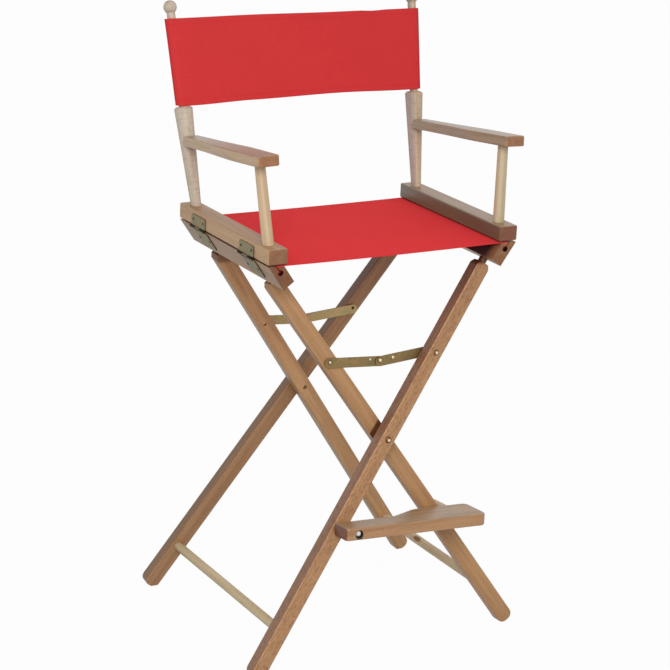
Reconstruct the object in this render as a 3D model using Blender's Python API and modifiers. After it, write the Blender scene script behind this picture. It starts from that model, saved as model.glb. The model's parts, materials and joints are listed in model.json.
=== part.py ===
# Folding director chair, bar height: two crossed leg frames on a pair of pivot bolts,
# arm frames hinged to the seat rails, folding braces, a swinging footrest and two canvases.
# Metres, +Z up, front of the chair towards -Y, origin on the floor under the middle.

from math import asin, atan2, cos, hypot, pi, radians, sin, tan

import bmesh
import bpy
from mathutils import Matrix, Vector

# Driving dimensions of the whole chair
SEAT_HEIGHT = 0.7610
DEPTH_SHIFT = 0.00208
GAP = 0.0003
BORE_RUN = 0.01

# Leg frames
PIVOT_HEIGHT = 0.4086
LEG_ANGLE = radians(35.0)
LEG_SPLAY = radians(6.04)
LEG_WIDTH = 0.031
LEG_THICK = 0.024
LEG_SPACE = 0.0072
LEG_FACE = 0.1876
LEG_TOP = 0.3735
LEG_TOP_CHAMFER = 0.008
LEG_TOP_INSET = 0.0056
LEG_END = 0.4960
LEG_END_ROUND = 0.0125
LEG_EDGE = 0.0018
TENON_RADIUS = 0.008
TENON_DEPTH = 0.019
TENON_ROOT = 0.012
STRETCHER_DROP = 0.400
STRETCHER_RADIUS = 0.009
STRETCHER_SOCKET = 0.010

# Seat rails
RAIL_LENGTH = 0.3584
RAIL_BOTTOM = 0.3835
RAIL_THICK = 0.0254
RAIL_INSET = 0.0025
SLOT_WIDTH = 0.0036
SLOT_DEPTH = 0.014
SLOT_BORE = 0.0053
ROD_RADIUS = 0.0032
ROD_RECESS = 0.012

# Arm frames
BLOCK_OUTER = 0.2605
BLOCK_INNER = 0.2218
BLOCK_BOTTOM = 0.7640
BLOCK_TOP = 0.7924
BLOCK_EDGE = 0.0025
POST_SOCKET = 0.021
BACK_POST_FOOT = (0.2406, 0.1505)
BACK_POST_LEAN = (0.0574, 0.2540)
BACK_POST_BASE_RADIUS = 0.0097
BACK_POST_SHOULDER_RADIUS = 0.0174
BACK_POST_NECK_RADIUS = 0.0080
BACK_POST_SHOULDER = 0.9712
SHOULDER_LEDGE = 0.004
SHOULDER_ROUND = 0.0038
SHOULDER_CREST = 0.0005
BACK_POST_BALL = 1.1490
BALL_RADIUS = 0.0127
FRONT_POST_FOOT = (0.2425, -0.1415)
FRONT_POST_LEAN = (0.0850, 0.1426)
FRONT_POST_RADII = (0.0107, 0.0095)
FRONT_POST_TENON = 0.011
ARM_FRONT = (-0.1610, 0.9569)
ARM_SLOPE = 0.1077
ARM_ROLL = 0.040
ARM_THICK = 0.0194
ARM_REAR_SHARE = 0.94
ARM_FRONT_HALF = 0.0216
ARM_PALM = (0.114, 0.0238)
ARM_WAIST = (0.228, 0.0172)
ARM_REAR_HALF = 0.0148
ARM_CORNER = 0.006
ARM_SIDE_CURVE = 0.5
ARM_REAR_CORNER = 0.003
ARM_REAR_END = -0.0148
ARM_EDGE = 0.0022
COPE_REACH = 0.05
SCREW_RADIUS = 0.0024
SCREW_HEAD = 0.0046
SCREW_SEAT = 0.0012
SCREW_REACH = 0.024
SCREW_POINT = 0.004
SCREW_DOME = (0.0016, 0.0026)

# Hinges between the arm blocks and the rails
KNUCKLE_RADIUS = 0.0026
PIN_RADIUS = 0.0012
PIN_END = 0.0008
LEAF_THICK = 0.0014
LEAF_LENGTH = 0.056
ARM_LEAF_DROP = 0.0240
RAIL_LEAF_DROP = 0.0470
HINGE_PLACES = (-0.0965, 0.0965)
LEAF_SHOULDER = 0.0005
LEAF_CORNER = 0.005
TAB_INSET = 0.0002
TAB_START = 0.0010

# Pivot bolts
PIVOT_RADIUS = 0.0030
PIVOT_HEAD = 0.0062
PIVOT_DOME = 0.0034
SPACER_RADIUS = 0.008
SPACER_HALF = 0.0021
NUT_RADIUS = 0.0042
NUT_LENGTH = 0.0090
NUT_RECESS = 0.0020
NUT_GRIP = 0.0055
PIVOT_FACE_GAP = 0.0011

# Folding braces
BRACE_ON_LEG = 0.1830
BRACE_DIP = 0.008
STRAP_HALF = 0.0095
STRAP_DROP = 0.0025
STRAP_THICK = 0.0016
RIVET_RADIUS = 0.0030
RIVET_HEAD = 0.0052
RIVET_DOME = 0.0024
RIVET_PLAY = 0.0004
RIVET_FOOT = (0.0045, 0.0012)
BOLT_SEAT = 0.0022
BOLT_STOP = 0.003
BOLT_RECESS = 0.0025

# Footrest
REST_BOLT = (-0.0915, 0.2615)
REST_FRONT = -0.2560
REST_TILT = radians(2.9)
REST_THICK = 0.0235
REST_LEFT = 0.027
REST_RIGHT = 0.277
REST_NARROW = 0.0470
REST_WIDE = 0.0755
REST_CURVE = (0.098, 0.158)
REST_CORNER = 0.012
REST_HEAD_CORNERS = (0.007, 0.004)
REST_CURVE_RADII = (0.030, 0.045)
REST_EDGE = 0.003
REST_BOLT_RADIUS = 0.0035
REST_BOLT_GRIP = 0.018
REST_BORE = 0.0076
REST_BORE_DEPTH = 0.0065
REST_BOLT_HEAD = (0.0056, 0.0052)
REST_WASHER = 0.0085
REST_WASHER_GAP = 0.0009
PEG_RADIUS = 0.0070
PEG_RISE = 0.0020
PEG_REACH = 0.050
PEG_SOCKET = 0.018

# Canvases
CANVAS_THICK = 0.0012
SEAT_CANVAS_LENGTH = 0.3570
SEAT_SAG = 0.0015
SEAT_LIP = (0.0005, 0.0002)
SEAT_HEM_OPENING = 0.8
SLOT_CLEARANCE = 0.003
BACK_BOTTOM = 0.9770
BACK_TOP = 1.1295
BACK_SLEEVE = (0.0130, 0.0105)
SEAM_REACH = 1.55
SEAM_GAP = 0.0009
SLEEVE_TURN = (radians(90.0), radians(310.0))

ROUND_SIDES = 24
SMALL_SIDES = 12

LEFT, RIGHT = -1, 1
FRONT, REAR = -1, 1
SIDE_NAME = {LEFT: "left", RIGHT: "right"}
END_NAME = {FRONT: "front", REAR: "rear"}

COLOURS = {
    "beech": ((0.43, 0.22, 0.11), 0.50, 0.0),
    "pale_wood": ((0.57, 0.45, 0.31), 0.55, 0.0),
    "zinc": ((0.30, 0.24, 0.09), 0.38, 1.0),
    "steel": ((0.62, 0.62, 0.60), 0.30, 1.0),
    "canvas": ((0.62, 0.045, 0.048), 0.90, 0.0),
}


# Scene

def clear_scene():
    for old in list(bpy.data.objects):
        bpy.data.objects.remove(old, do_unlink=True)


def new_collection(name):
    collection = bpy.data.collections.new(name)
    bpy.context.scene.collection.children.link(collection)
    return collection


def new_material(name):
    colour, roughness, metallic = COLOURS[name]
    material = bpy.data.materials.new(name)
    material.use_nodes = True
    shader = material.node_tree.nodes["Principled BSDF"]
    shader.inputs["Base Color"].default_value = (*colour, 1.0)
    shader.inputs["Roughness"].default_value = roughness
    shader.inputs["Metallic"].default_value = metallic
    material.diffuse_color = (*colour, 1.0)
    return material


clear_scene()
chair_collection = new_collection("director_chair")
cutter_collection = new_collection("cutters")
materials = {name: new_material(name) for name in COLOURS}


def move_to(obj, collection):
    for other in list(obj.users_collection):
        other.objects.unlink(obj)
    collection.objects.link(obj)


def add_empty(name, parent=None, matrix=Matrix()):
    empty = bpy.data.objects.new(name, None)
    empty.empty_display_size = 0.03
    chair_collection.objects.link(empty)
    empty.parent = parent
    empty.matrix_local = matrix
    bpy.context.view_layer.update()
    return empty


def place(obj, name, material, parent, matrix=Matrix()):
    obj.name = name
    obj.data.name = name
    move_to(obj, chair_collection)
    obj.data.materials.clear()
    obj.data.materials.append(materials[material])
    obj.parent = parent
    obj.matrix_local = matrix
    bpy.context.view_layer.update()
    return obj


def make_guide(obj, name, parent=None, matrix=Matrix()):
    obj.name = name
    move_to(obj, cutter_collection)
    obj.parent = parent
    obj.matrix_local = matrix
    obj.hide_render = True
    obj.display_type = "WIRE"
    bpy.context.view_layer.update()
    return obj


def combine(obj, other, operation):
    modifier = obj.modifiers.new(f"{operation.lower()} {other.name}", "BOOLEAN")
    modifier.operation = operation
    modifier.object = other


def cut(obj, *cutters):
    for cutter in cutters:
        combine(obj, cutter, "DIFFERENCE")


# Shapes

def smooth(mesh, angle=40.0):
    mesh.shade_smooth()
    mesh.set_sharp_from_angle(angle=radians(angle))


def box(size, edge=0.0):
    bpy.ops.mesh.primitive_cube_add(size=1.0)
    obj = bpy.context.object
    obj.data.transform(Matrix.Diagonal((*size, 1.0)))
    if edge:
        bevel = obj.modifiers.new("edges", "BEVEL")
        bevel.width = edge
        bevel.segments = 2
    return obj


def cylinder(radius, low, high, sides=ROUND_SIDES):
    bpy.ops.mesh.primitive_cylinder_add(vertices=sides, radius=radius, depth=high - low)
    obj = bpy.context.object
    obj.data.transform(Matrix.Translation((0, 0, (low + high) / 2)))
    smooth(obj.data)
    return obj


def turned(profile, sides=ROUND_SIDES, closed=False):
    mesh = bpy.data.meshes.new("profile")
    points = [(radius, 0.0, height) for radius, height in profile]
    edges = [(i, i + 1) for i in range(len(points) - 1)]
    if closed:
        edges.append((len(points) - 1, 0))
    mesh.from_pydata(points, edges, [])
    obj = bpy.data.objects.new("turned", mesh)
    bpy.context.scene.collection.objects.link(obj)
    screw = obj.modifiers.new("turn", "SCREW")
    screw.steps = sides
    screw.render_steps = sides
    screw.use_merge_vertices = True
    screw.merge_threshold = 0.00001
    return obj


def evaluated_mesh(obj):
    bpy.context.view_layer.update()
    graph = bpy.context.evaluated_depsgraph_get()
    return bpy.data.meshes.new_from_object(obj.evaluated_get(graph))


def plate(outline, thickness, edge=0.0):
    curve = bpy.data.curves.new("outline", "CURVE")
    curve.dimensions = "2D"
    curve.fill_mode = "BOTH"
    curve.extrude = thickness / 2 - edge
    curve.bevel_depth = edge
    curve.bevel_resolution = 1
    curve.offset = -edge
    spline = curve.splines.new("POLY")
    spline.points.add(len(outline) - 1)
    for point, (x, y) in zip(spline.points, outline):
        point.co = (x, y, 0.0, 1.0)
    spline.use_cyclic_u = True
    drawn = bpy.data.objects.new("outline", curve)
    bpy.context.scene.collection.objects.link(drawn)
    mesh = evaluated_mesh(drawn)
    bpy.data.objects.remove(drawn)
    bpy.data.curves.remove(curve)
    work = bmesh.new()
    work.from_mesh(mesh)
    bmesh.ops.remove_doubles(work, verts=work.verts, dist=0.00001)
    bmesh.ops.dissolve_limit(work, angle_limit=radians(0.1), verts=work.verts, edges=work.edges)
    bmesh.ops.recalc_face_normals(work, faces=work.faces)
    work.to_mesh(mesh)
    work.free()
    smooth(mesh, 30.0)
    obj = bpy.data.objects.new("plate", mesh)
    bpy.context.scene.collection.objects.link(obj)
    return obj


def arc(centre, radius, start, end, steps):
    for i in range(steps + 1):
        angle = start + (end - start) * i / steps
        yield (centre[0] + radius * cos(angle), centre[1] + radius * sin(angle))


def rounded_outline(corners, steps=5):
    # Each corner is (x, y, radius); the outline runs counter-clockwise.
    points = []
    count = len(corners)
    for i, (x, y, radius) in enumerate(corners):
        here = Vector((x, y))
        if radius <= 0.0:
            points.append((x, y))
            continue
        before = (Vector(corners[i - 1][:2]) - here).normalized()
        after = (Vector(corners[(i + 1) % count][:2]) - here).normalized()
        half = before.angle(after) / 2
        inward = (before + after).normalized()
        centre = here + inward * (radius / sin(half))
        first = here + before * (radius / tan(half)) - centre
        last = here + after * (radius / tan(half)) - centre
        start = atan2(first.y, first.x)
        sweep = (atan2(last.y, last.x) - start + pi) % (2 * pi) - pi
        points.extend(arc(centre, radius, start, start + sweep, steps))
    return points


def upright(obj):
    # Turns a plate from the XY plane into the XZ plane, thickness along Y.
    obj.data.transform(Matrix.Rotation(pi / 2, 4, "X"))
    return obj


def along(direction, origin):
    # Matrix that takes local +Z to a direction at an origin.
    turn = Vector(direction).to_track_quat("Z", "Y").to_matrix().to_4x4()
    return Matrix.Translation(origin) @ turn


def at(x, y, z):
    return Matrix.Translation((x, y, z))


# Frames of reference: one empty for each body that moves

chair = add_empty("chair", None, at(0.0, DEPTH_SHIFT, 0.0))
frames = {
    side: add_empty(
        f"{SIDE_NAME[side]}_frame",
        chair,
        at(0.0, 0.0, PIVOT_HEIGHT) @ Matrix.Rotation(side * LEG_ANGLE, 4, "Y"),
    )
    for side in (LEFT, RIGHT)
}

# The hinge line of each arm lies one knuckle radius outside the block's and the rail's faces
HINGE_X = BLOCK_OUTER + KNUCKLE_RADIUS
RAIL_OUTER = RAIL_THICK / 2 - RAIL_INSET
HINGE_RISE = (HINGE_X * cos(LEG_ANGLE) - RAIL_OUTER - KNUCKLE_RADIUS) / sin(LEG_ANGLE)
HINGE_Z = PIVOT_HEIGHT + HINGE_RISE
arms = {
    side: add_empty(f"{SIDE_NAME[side]}_arm", chair, at(side * HINGE_X, 0.0, HINGE_Z))
    for side in (LEFT, RIGHT)
}


def chair_point(x, y, z, parent):
    # A point of the chair in the coordinates of one of its empties.
    inverse = parent.matrix_world.inverted() @ chair.matrix_world
    return inverse @ Vector((x, y, z))


def frame_matrix(parent, matrix):
    # A chair matrix in the coordinates of one of its empties.
    return parent.matrix_world.inverted() @ chair.matrix_world @ matrix


# Legs: the left rail carries the inner pair, the right rail the outer pair

def leg_centre(side):
    outer = LEG_FACE - LEG_THICK / 2
    return outer if side == RIGHT else outer - LEG_THICK - LEG_SPACE


def leg_matrix(side, end):
    return at(0.0, end * leg_centre(side), 0.0) @ Matrix.Rotation(end * LEG_SPLAY, 4, "X")


def leg_outline():
    half = LEG_WIDTH / 2
    top = LEG_TOP / cos(LEG_SPLAY)
    bottom = -LEG_END / cos(LEG_SPLAY)
    return rounded_outline([
        (half, bottom, LEG_END_ROUND),
        (half, top - LEG_TOP_CHAMFER, 0.0),
        (half - LEG_TOP_INSET, top, 0.0),
        (-half + LEG_TOP_INSET, top, 0.0),
        (-half, top - LEG_TOP_CHAMFER, 0.0),
        (-half, bottom, LEG_END_ROUND),
    ])


def brace_slope():
    # Rise per metre, along Y, of the plane that both legs of a crossing share.
    return tan(LEG_SPLAY) * cos(LEG_ANGLE)


def build_legs():
    floor = make_guide(box((1.0, 1.0, 0.05)), "floor_cutter", chair, at(0.0, 0.0, -0.025))
    legs = {}
    for side in (LEFT, RIGHT):
        for end in (FRONT, REAR):
            name = f"{SIDE_NAME[side]}_{END_NAME[end]}_leg"
            leg = upright(plate(leg_outline(), LEG_THICK, LEG_EDGE))
            place(leg, name, "beech", frames[side], leg_matrix(side, end))
            tenon = cylinder(
                TENON_RADIUS,
                LEG_TOP / cos(LEG_SPLAY) - TENON_ROOT,
                (RAIL_BOTTOM + TENON_DEPTH) / cos(LEG_SPLAY),
                16,
            )
            make_guide(tenon, f"{name}_tenon", frames[side], leg_matrix(side, end))
            combine(leg, tenon, "UNION")
            cut(leg, floor)
            legs[side, end] = leg
    return legs


def build_stretchers(legs):
    for side in (LEFT, RIGHT):
        reach = leg_centre(side) - LEG_THICK / 2 + STRETCHER_DROP * tan(LEG_SPLAY) + STRETCHER_SOCKET
        turn = Matrix.Rotation(-pi / 2, 4, "X")
        matrix = at(0.0, 0.0, -STRETCHER_DROP) @ turn
        dowel = cylinder(STRETCHER_RADIUS, -reach, reach)
        place(dowel, f"{SIDE_NAME[side]}_stretcher", "pale_wood", frames[side], matrix)
        socket = cylinder(STRETCHER_RADIUS + GAP, -reach - GAP, reach + GAP)
        make_guide(socket, f"{SIDE_NAME[side]}_stretcher_socket", frames[side], matrix)
        for end in (FRONT, REAR):
            cut(legs[side, end], socket)


# Seat rails: a rectangle in line with the legs, its top bevelled level, slotted for the canvas

def rail_top(x):
    # Height along the frame of the level top, at x across the left rail.
    return (SEAT_HEIGHT - PIVOT_HEIGHT - x * sin(LEG_ANGLE)) / cos(LEG_ANGLE)


def slot_centre():
    return (RAIL_INSET, rail_top(RAIL_INSET) - SLOT_DEPTH)


def rail_outline():
    outer = RAIL_INSET - RAIL_THICK / 2
    inner = RAIL_INSET + RAIL_THICK / 2
    half = SLOT_WIDTH / 2
    centre = slot_centre()
    open_angle = asin(half / SLOT_BORE)
    keyhole = list(arc(centre, SLOT_BORE, pi / 2 - open_angle, -1.5 * pi + open_angle, 14))
    left_lip = RAIL_INSET - half
    right_lip = RAIL_INSET + half
    return [
        (outer, RAIL_BOTTOM),
        (inner, RAIL_BOTTOM),
        (inner, rail_top(inner)),
        (right_lip, rail_top(right_lip)),
        *keyhole,
        (left_lip, rail_top(left_lip)),
        (outer, rail_top(outer)),
    ]


def build_rails():
    for side in (LEFT, RIGHT):
        outline = [(-side * x, z) for x, z in rail_outline()]
        rail = upright(plate(outline[::-side], RAIL_LENGTH))
        place(rail, f"{SIDE_NAME[side]}_seat_rail", "beech", frames[side])
        for end in (FRONT, REAR):
            socket = cylinder(
                TENON_RADIUS + GAP, LEG_TOP, (RAIL_BOTTOM + TENON_DEPTH) / cos(LEG_SPLAY) + GAP, 16
            )
            socket_name = f"{SIDE_NAME[side]}_{END_NAME[end]}_socket"
            make_guide(socket, socket_name, frames[side], leg_matrix(side, end))
            cut(rail, socket)
        x, z = slot_centre()
        reach = RAIL_LENGTH / 2 - ROD_RECESS
        rod = cylinder(ROD_RADIUS, -reach, reach, SMALL_SIDES)
        rod_matrix = at(-side * x, 0.0, z) @ Matrix.Rotation(-pi / 2, 4, "X")
        place(rod, f"{SIDE_NAME[side]}_seat_rod", "pale_wood", frames[side], rod_matrix)


# Arm frames

def lean(foot, slopes, side, height):
    x, y = foot
    rise = height - BLOCK_TOP
    return Vector((side * (x + slopes[0] * rise), y + slopes[1] * rise, height))


def post_axis(foot, slopes, side):
    base = lean(foot, slopes, side, BLOCK_TOP)
    return base, (lean(foot, slopes, side, BLOCK_TOP + 1.0) - base)


def back_post_profile():
    stretch = hypot(1.0, *BACK_POST_LEAN)
    shoulder = (BACK_POST_SHOULDER - BLOCK_TOP) * stretch
    ball = (BACK_POST_BALL - BLOCK_TOP) * stretch
    neck_angle = -pi / 2 + asin(BACK_POST_NECK_RADIUS / BALL_RADIUS)
    ball_points = list(arc((0.0, ball), BALL_RADIUS, pi / 2, neck_angle, 9))
    ball_points[0] = (0.0, ball + BALL_RADIUS)
    return [
        *ball_points,
        (BACK_POST_NECK_RADIUS, shoulder),
        (BACK_POST_SHOULDER_RADIUS - SHOULDER_LEDGE, shoulder - SHOULDER_CREST),
        (BACK_POST_SHOULDER_RADIUS, shoulder - SHOULDER_ROUND),
        (BACK_POST_BASE_RADIUS, 0.0),
        (BACK_POST_BASE_RADIUS, -POST_SOCKET),
        (0.0, -POST_SOCKET),
    ]


def back_post_radius(height):
    share = (height - BLOCK_TOP) / (BACK_POST_SHOULDER - BLOCK_TOP)
    return BACK_POST_BASE_RADIUS + share * (BACK_POST_SHOULDER_RADIUS - BACK_POST_BASE_RADIUS)


def front_post_profile(length, spare):
    # A plain taper; a little spare all round makes it the cutter of its own sockets.
    base, top = FRONT_POST_RADII
    return [
        (0.0, length + spare),
        (top + spare, length + spare),
        (base + spare, 0.0),
        (base + spare, -POST_SOCKET - spare),
        (0.0, -POST_SOCKET - spare),
    ]


def arm_top(y):
    return ARM_FRONT[1] - ARM_SLOPE * (y - ARM_FRONT[0])


def arm_meets_post():
    # Height and depth where the back post's axis passes the armrest's middle plane.
    height = BLOCK_TOP
    for _ in range(20):
        y = BACK_POST_FOOT[1] + BACK_POST_LEAN[1] * (height - BLOCK_TOP)
        height = arm_top(y) - ARM_THICK / 2
    return y, height


def arm_outline(rear, front):
    # Plan of an armrest, y along it: swelling from the front to the palm, then narrowing.
    waist, waist_half = ARM_WAIST
    palm, palm_half = ARM_PALM
    return rounded_outline([
        (-ARM_REAR_HALF, rear, ARM_REAR_CORNER),
        (-waist_half, front + waist, ARM_SIDE_CURVE),
        (-palm_half, front + palm, ARM_SIDE_CURVE),
        (-ARM_FRONT_HALF, front, ARM_CORNER),
        (ARM_FRONT_HALF, front, ARM_CORNER),
        (palm_half, front + palm, ARM_SIDE_CURVE),
        (waist_half, front + waist, ARM_SIDE_CURVE),
        (ARM_REAR_HALF, rear, ARM_REAR_CORNER),
    ], 4)


def build_arm(side):
    arm = arms[side]
    word = SIDE_NAME[side]

    middle = (BLOCK_OUTER + BLOCK_INNER) / 2
    block = box((BLOCK_OUTER - BLOCK_INNER, RAIL_LENGTH, BLOCK_TOP - BLOCK_BOTTOM), BLOCK_EDGE)
    block_place = at(side * middle, 0.0, (BLOCK_TOP + BLOCK_BOTTOM) / 2)
    place(block, f"{word}_arm_block", "beech", arm, frame_matrix(arm, block_place))

    base, axis = post_axis(BACK_POST_FOOT, BACK_POST_LEAN, side)
    back_matrix = frame_matrix(arm, along(axis, base))
    back = turned(back_post_profile())
    place(back, f"{word}_back_post", "pale_wood", arm, back_matrix)
    socket = cylinder(BACK_POST_BASE_RADIUS + GAP, -POST_SOCKET - GAP, 0.02)
    make_guide(socket, f"{word}_back_post_socket", arm, back_matrix)
    cut(block, socket)

    base, axis = post_axis(FRONT_POST_FOOT, FRONT_POST_LEAN, side)
    y_top = base.y + FRONT_POST_LEAN[1] * (ARM_FRONT[1] - ARM_THICK - BLOCK_TOP)
    arm_underside = arm_top(y_top) - ARM_THICK * hypot(1.0, ARM_SLOPE)
    length = (arm_underside - BLOCK_TOP) * hypot(1.0, *FRONT_POST_LEAN) + FRONT_POST_TENON
    front_matrix = frame_matrix(arm, along(axis, base))
    post = turned(front_post_profile(length, 0.0))
    place(post, f"{word}_front_post", "pale_wood", arm, front_matrix)
    socket = turned(front_post_profile(length, GAP))
    make_guide(socket, f"{word}_front_post_socket", arm, front_matrix)
    cut(block, socket)

    # The armrest runs over the front post and its coped end meets the front of the back post
    y_post, z_post = arm_meets_post()
    rear_axis = lean(BACK_POST_FOOT, BACK_POST_LEAN, side, z_post)
    front_axis = lean(FRONT_POST_FOOT, FRONT_POST_LEAN, side, arm_underside + ARM_THICK / 2)
    run = front_axis - rear_axis
    yaw = atan2(run.x, -run.y)
    front_end = (ARM_FRONT[0] - y_post) / cos(yaw)
    rest = plate(arm_outline(ARM_REAR_END, front_end), ARM_THICK, ARM_EDGE)
    for vertex in rest.data.vertices:
        back_share = (vertex.co.y - front_end) / (ARM_REAR_END - front_end)
        below_top = ARM_THICK / 2 - vertex.co.z
        vertex.co.z = ARM_THICK / 2 - below_top * (1 - (1 - ARM_REAR_SHARE) * back_share)
    rest_place = (
        at(*rear_axis)
        @ Matrix.Rotation(yaw, 4, "Z")
        @ Matrix.Rotation(-atan2(ARM_SLOPE, 1.0), 4, "X")
        @ Matrix.Rotation(side * ARM_ROLL, 4, "Y")
    )
    place(rest, f"{word}_armrest", "beech", arm, frame_matrix(arm, rest_place))
    cut(rest, socket)
    low, high = z_post - COPE_REACH, z_post + COPE_REACH
    reach = COPE_REACH * hypot(1.0, *BACK_POST_LEAN)
    cope = turned([
        (0.0, reach),
        (back_post_radius(high) + GAP, reach),
        (back_post_radius(low) + GAP, -reach),
        (0.0, -reach),
    ])
    back_axis = post_axis(BACK_POST_FOOT, BACK_POST_LEAN, side)[1]
    make_guide(cope, f"{word}_cope", arm, frame_matrix(arm, along(back_axis, rear_axis)))
    cut(rest, cope)

    # A screw from behind the back post draws the armrest against it
    forward = (front_axis - rear_axis).normalized()
    radius = back_post_radius(z_post)
    start, end = -radius - SCREW_SEAT, radius + SCREW_REACH
    screw = turned([
        (0.0, end),
        (SCREW_RADIUS, end - SCREW_POINT),
        (SCREW_RADIUS, start),
        (SCREW_HEAD, start),
        (SCREW_HEAD * 0.8, start - SCREW_DOME[0]),
        (0.0, start - SCREW_DOME[1]),
    ], SMALL_SIDES)
    screw_matrix = frame_matrix(arm, along(forward, rear_axis))
    place(screw, f"{word}_armrest_screw", "zinc", arm, screw_matrix)
    bore = cylinder(SCREW_RADIUS + GAP, start - 0.02, end + GAP, SMALL_SIDES)
    make_guide(bore, f"{word}_armrest_screw_bore", arm, screw_matrix)
    cut(rest, bore)
    cut(back, bore)


# Hinges: leaf outlines lie in a plane with x along the hinge line and y away from it

def leaf_outline(tabs, drop):
    # The shoulders beside the tabs rise a little towards the leaf's ends.
    half = LEAF_LENGTH / 2

    def shoulder(x):
        return (x, KNUCKLE_RADIUS + LEAF_SHOULDER * (1 + abs(x) / half), 0.0)

    points = [(half, drop, LEAF_CORNER), (-half, drop, LEAF_CORNER), shoulder(-half)]
    for start, end in tabs:
        start += TAB_INSET
        end -= TAB_INSET
        points += [shoulder(start), (start, TAB_START, 0.0), (end, TAB_START, 0.0), shoulder(end)]
    points.append(shoulder(half))
    return rounded_outline(points, 3)


def hinge_leaf(name, parent, matrix, tabs, drop):
    # The leaf lies against its face, one knuckle radius inside the hinge line.
    leaf = plate(leaf_outline(tabs, drop), LEAF_THICK)
    offset = KNUCKLE_RADIUS - GAP - LEAF_THICK / 2
    leaf.data.transform(at(0.0, 0.0, -offset))
    place(leaf, name, "zinc", parent, matrix)
    turn = Matrix.Rotation(pi / 2, 4, "Y")
    for number, (start, end) in enumerate(tabs):
        barrel = cylinder(KNUCKLE_RADIUS, start, end, SMALL_SIDES)
        make_guide(barrel, f"{name}_barrel_{number}", parent, matrix @ turn)
        combine(leaf, barrel, "UNION")
    bore = cylinder(PIN_RADIUS + GAP, -LEAF_LENGTH, LEAF_LENGTH, SMALL_SIDES)
    make_guide(bore, f"{name}_bore", parent, matrix @ turn)
    cut(leaf, bore)
    return leaf


def face_matrix(x_axis, y_axis):
    x_axis = Vector(x_axis)
    y_axis = Vector(y_axis)
    z_axis = x_axis.cross(y_axis)
    return Matrix((x_axis, y_axis, z_axis)).transposed().to_4x4()


def build_hinges(side):
    third = LEAF_LENGTH / 6
    middle_tab = [(-third, third)]
    end_tabs = [(-LEAF_LENGTH / 2, -third - GAP), (third + GAP, LEAF_LENGTH / 2)]
    frame_hinge = chair_point(side * HINGE_X, 0.0, HINGE_Z, frames[side])
    for end, y in zip((FRONT, REAR), HINGE_PLACES):
        name = f"{SIDE_NAME[side]}_{END_NAME[end]}_hinge"
        up = face_matrix((0.0, side, 0.0), (0.0, 0.0, 1.0))
        hinge_leaf(f"{name}_arm_leaf", arms[side], at(0.0, y, 0.0) @ up, middle_tab, ARM_LEAF_DROP)
        down = face_matrix((0.0, -side, 0.0), (0.0, 0.0, -1.0))
        rail_place = at(frame_hinge.x, y, frame_hinge.z)
        hinge_leaf(f"{name}_rail_leaf", frames[side], rail_place @ down, end_tabs, RAIL_LEAF_DROP)
        reach = LEAF_LENGTH / 2 + PIN_END
        pin = cylinder(PIN_RADIUS, -reach, reach, SMALL_SIDES)
        pin_place = rail_place @ Matrix.Rotation(-pi / 2, 4, "X")
        place(pin, f"{name}_pin", "zinc", frames[side], pin_place)


# Bolts: turned along +Z from the far end of the shank to the domed head

def domed_bolt(radius, low, high, head_radius, head_height, end_radius=0.0, end_height=0.0):
    dome = [
        (head_radius * sin(pi / 2 * i / 4), high + head_height * cos(pi / 2 * i / 4))
        for i in range(5)
    ]
    foot = [(radius, low)]
    if end_radius:
        foot += [(end_radius, low), (end_radius * 0.75, low - end_height), (0.0, low - end_height)]
    else:
        foot += [(0.0, low)]
    return turned([*dome, (radius, high), *foot], 16)


def headed_pin(radius, low, high, head_radius, head_height):
    # A flat head at the low end and a plain upper end.
    head = [(head_radius, low), (head_radius * 0.75, low - head_height), (0.0, low - head_height)]
    return turned([(0.0, high), (radius, high), (radius, low), *head], 16)


def ring(outer, inner, low, high, sides=ROUND_SIDES):
    # A washer: a closed section turned round the axis.
    return turned([(outer, high), (outer, low), (inner, low), (inner, high)], sides, True)


def build_pivots(legs):
    outer_face = LEG_FACE
    outer_rear = LEG_FACE - LEG_THICK
    inner_face = outer_rear - LEG_SPACE
    inner_rear = inner_face - LEG_THICK
    for end in (FRONT, REAR):
        name = f"{END_NAME[end]}_pivot"
        matrix = along((0.0, end, 0.0), (0.0, 0.0, PIVOT_HEIGHT))
        tilt = LEG_THICK / 2 * (1.0 / cos(LEG_SPLAY) - 1)
        head = outer_face + tilt + PIVOT_FACE_GAP
        nut_end = inner_rear - tilt + NUT_RECESS
        nut_seat = nut_end + NUT_LENGTH
        bolt = domed_bolt(PIVOT_RADIUS, nut_seat - NUT_GRIP, head, PIVOT_HEAD, PIVOT_DOME)
        place(bolt, f"{name}_bolt", "zinc", chair, matrix)
        bore = cylinder(PIVOT_RADIUS + GAP, inner_rear - BORE_RUN, head + BORE_RUN, 16)
        make_guide(bore, f"{name}_bore", chair, matrix)
        cut(legs[LEFT, end], bore)
        cut(legs[RIGHT, end], bore)
        middle = (outer_rear + inner_face) / 2
        spacer = ring(SPACER_RADIUS, PIVOT_RADIUS + GAP, middle - SPACER_HALF, middle + SPACER_HALF)
        place(spacer, f"{name}_spacer", "steel", chair, matrix)

        # The nut is a sleeve sunk in the inner leg, its open end just below the face
        sleeve_nut = ring(NUT_RADIUS, PIVOT_RADIUS + GAP, nut_end, nut_seat, 16)
        place(sleeve_nut, f"{name}_nut", "zinc", chair, matrix)
        sink = cylinder(NUT_RADIUS + GAP, inner_rear - BORE_RUN, nut_seat + GAP, 16)
        make_guide(sink, f"{name}_nut_sink", chair, matrix)
        cut(legs[LEFT, end], sink)


# Folding braces: two straps in the space between the crossing legs

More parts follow.
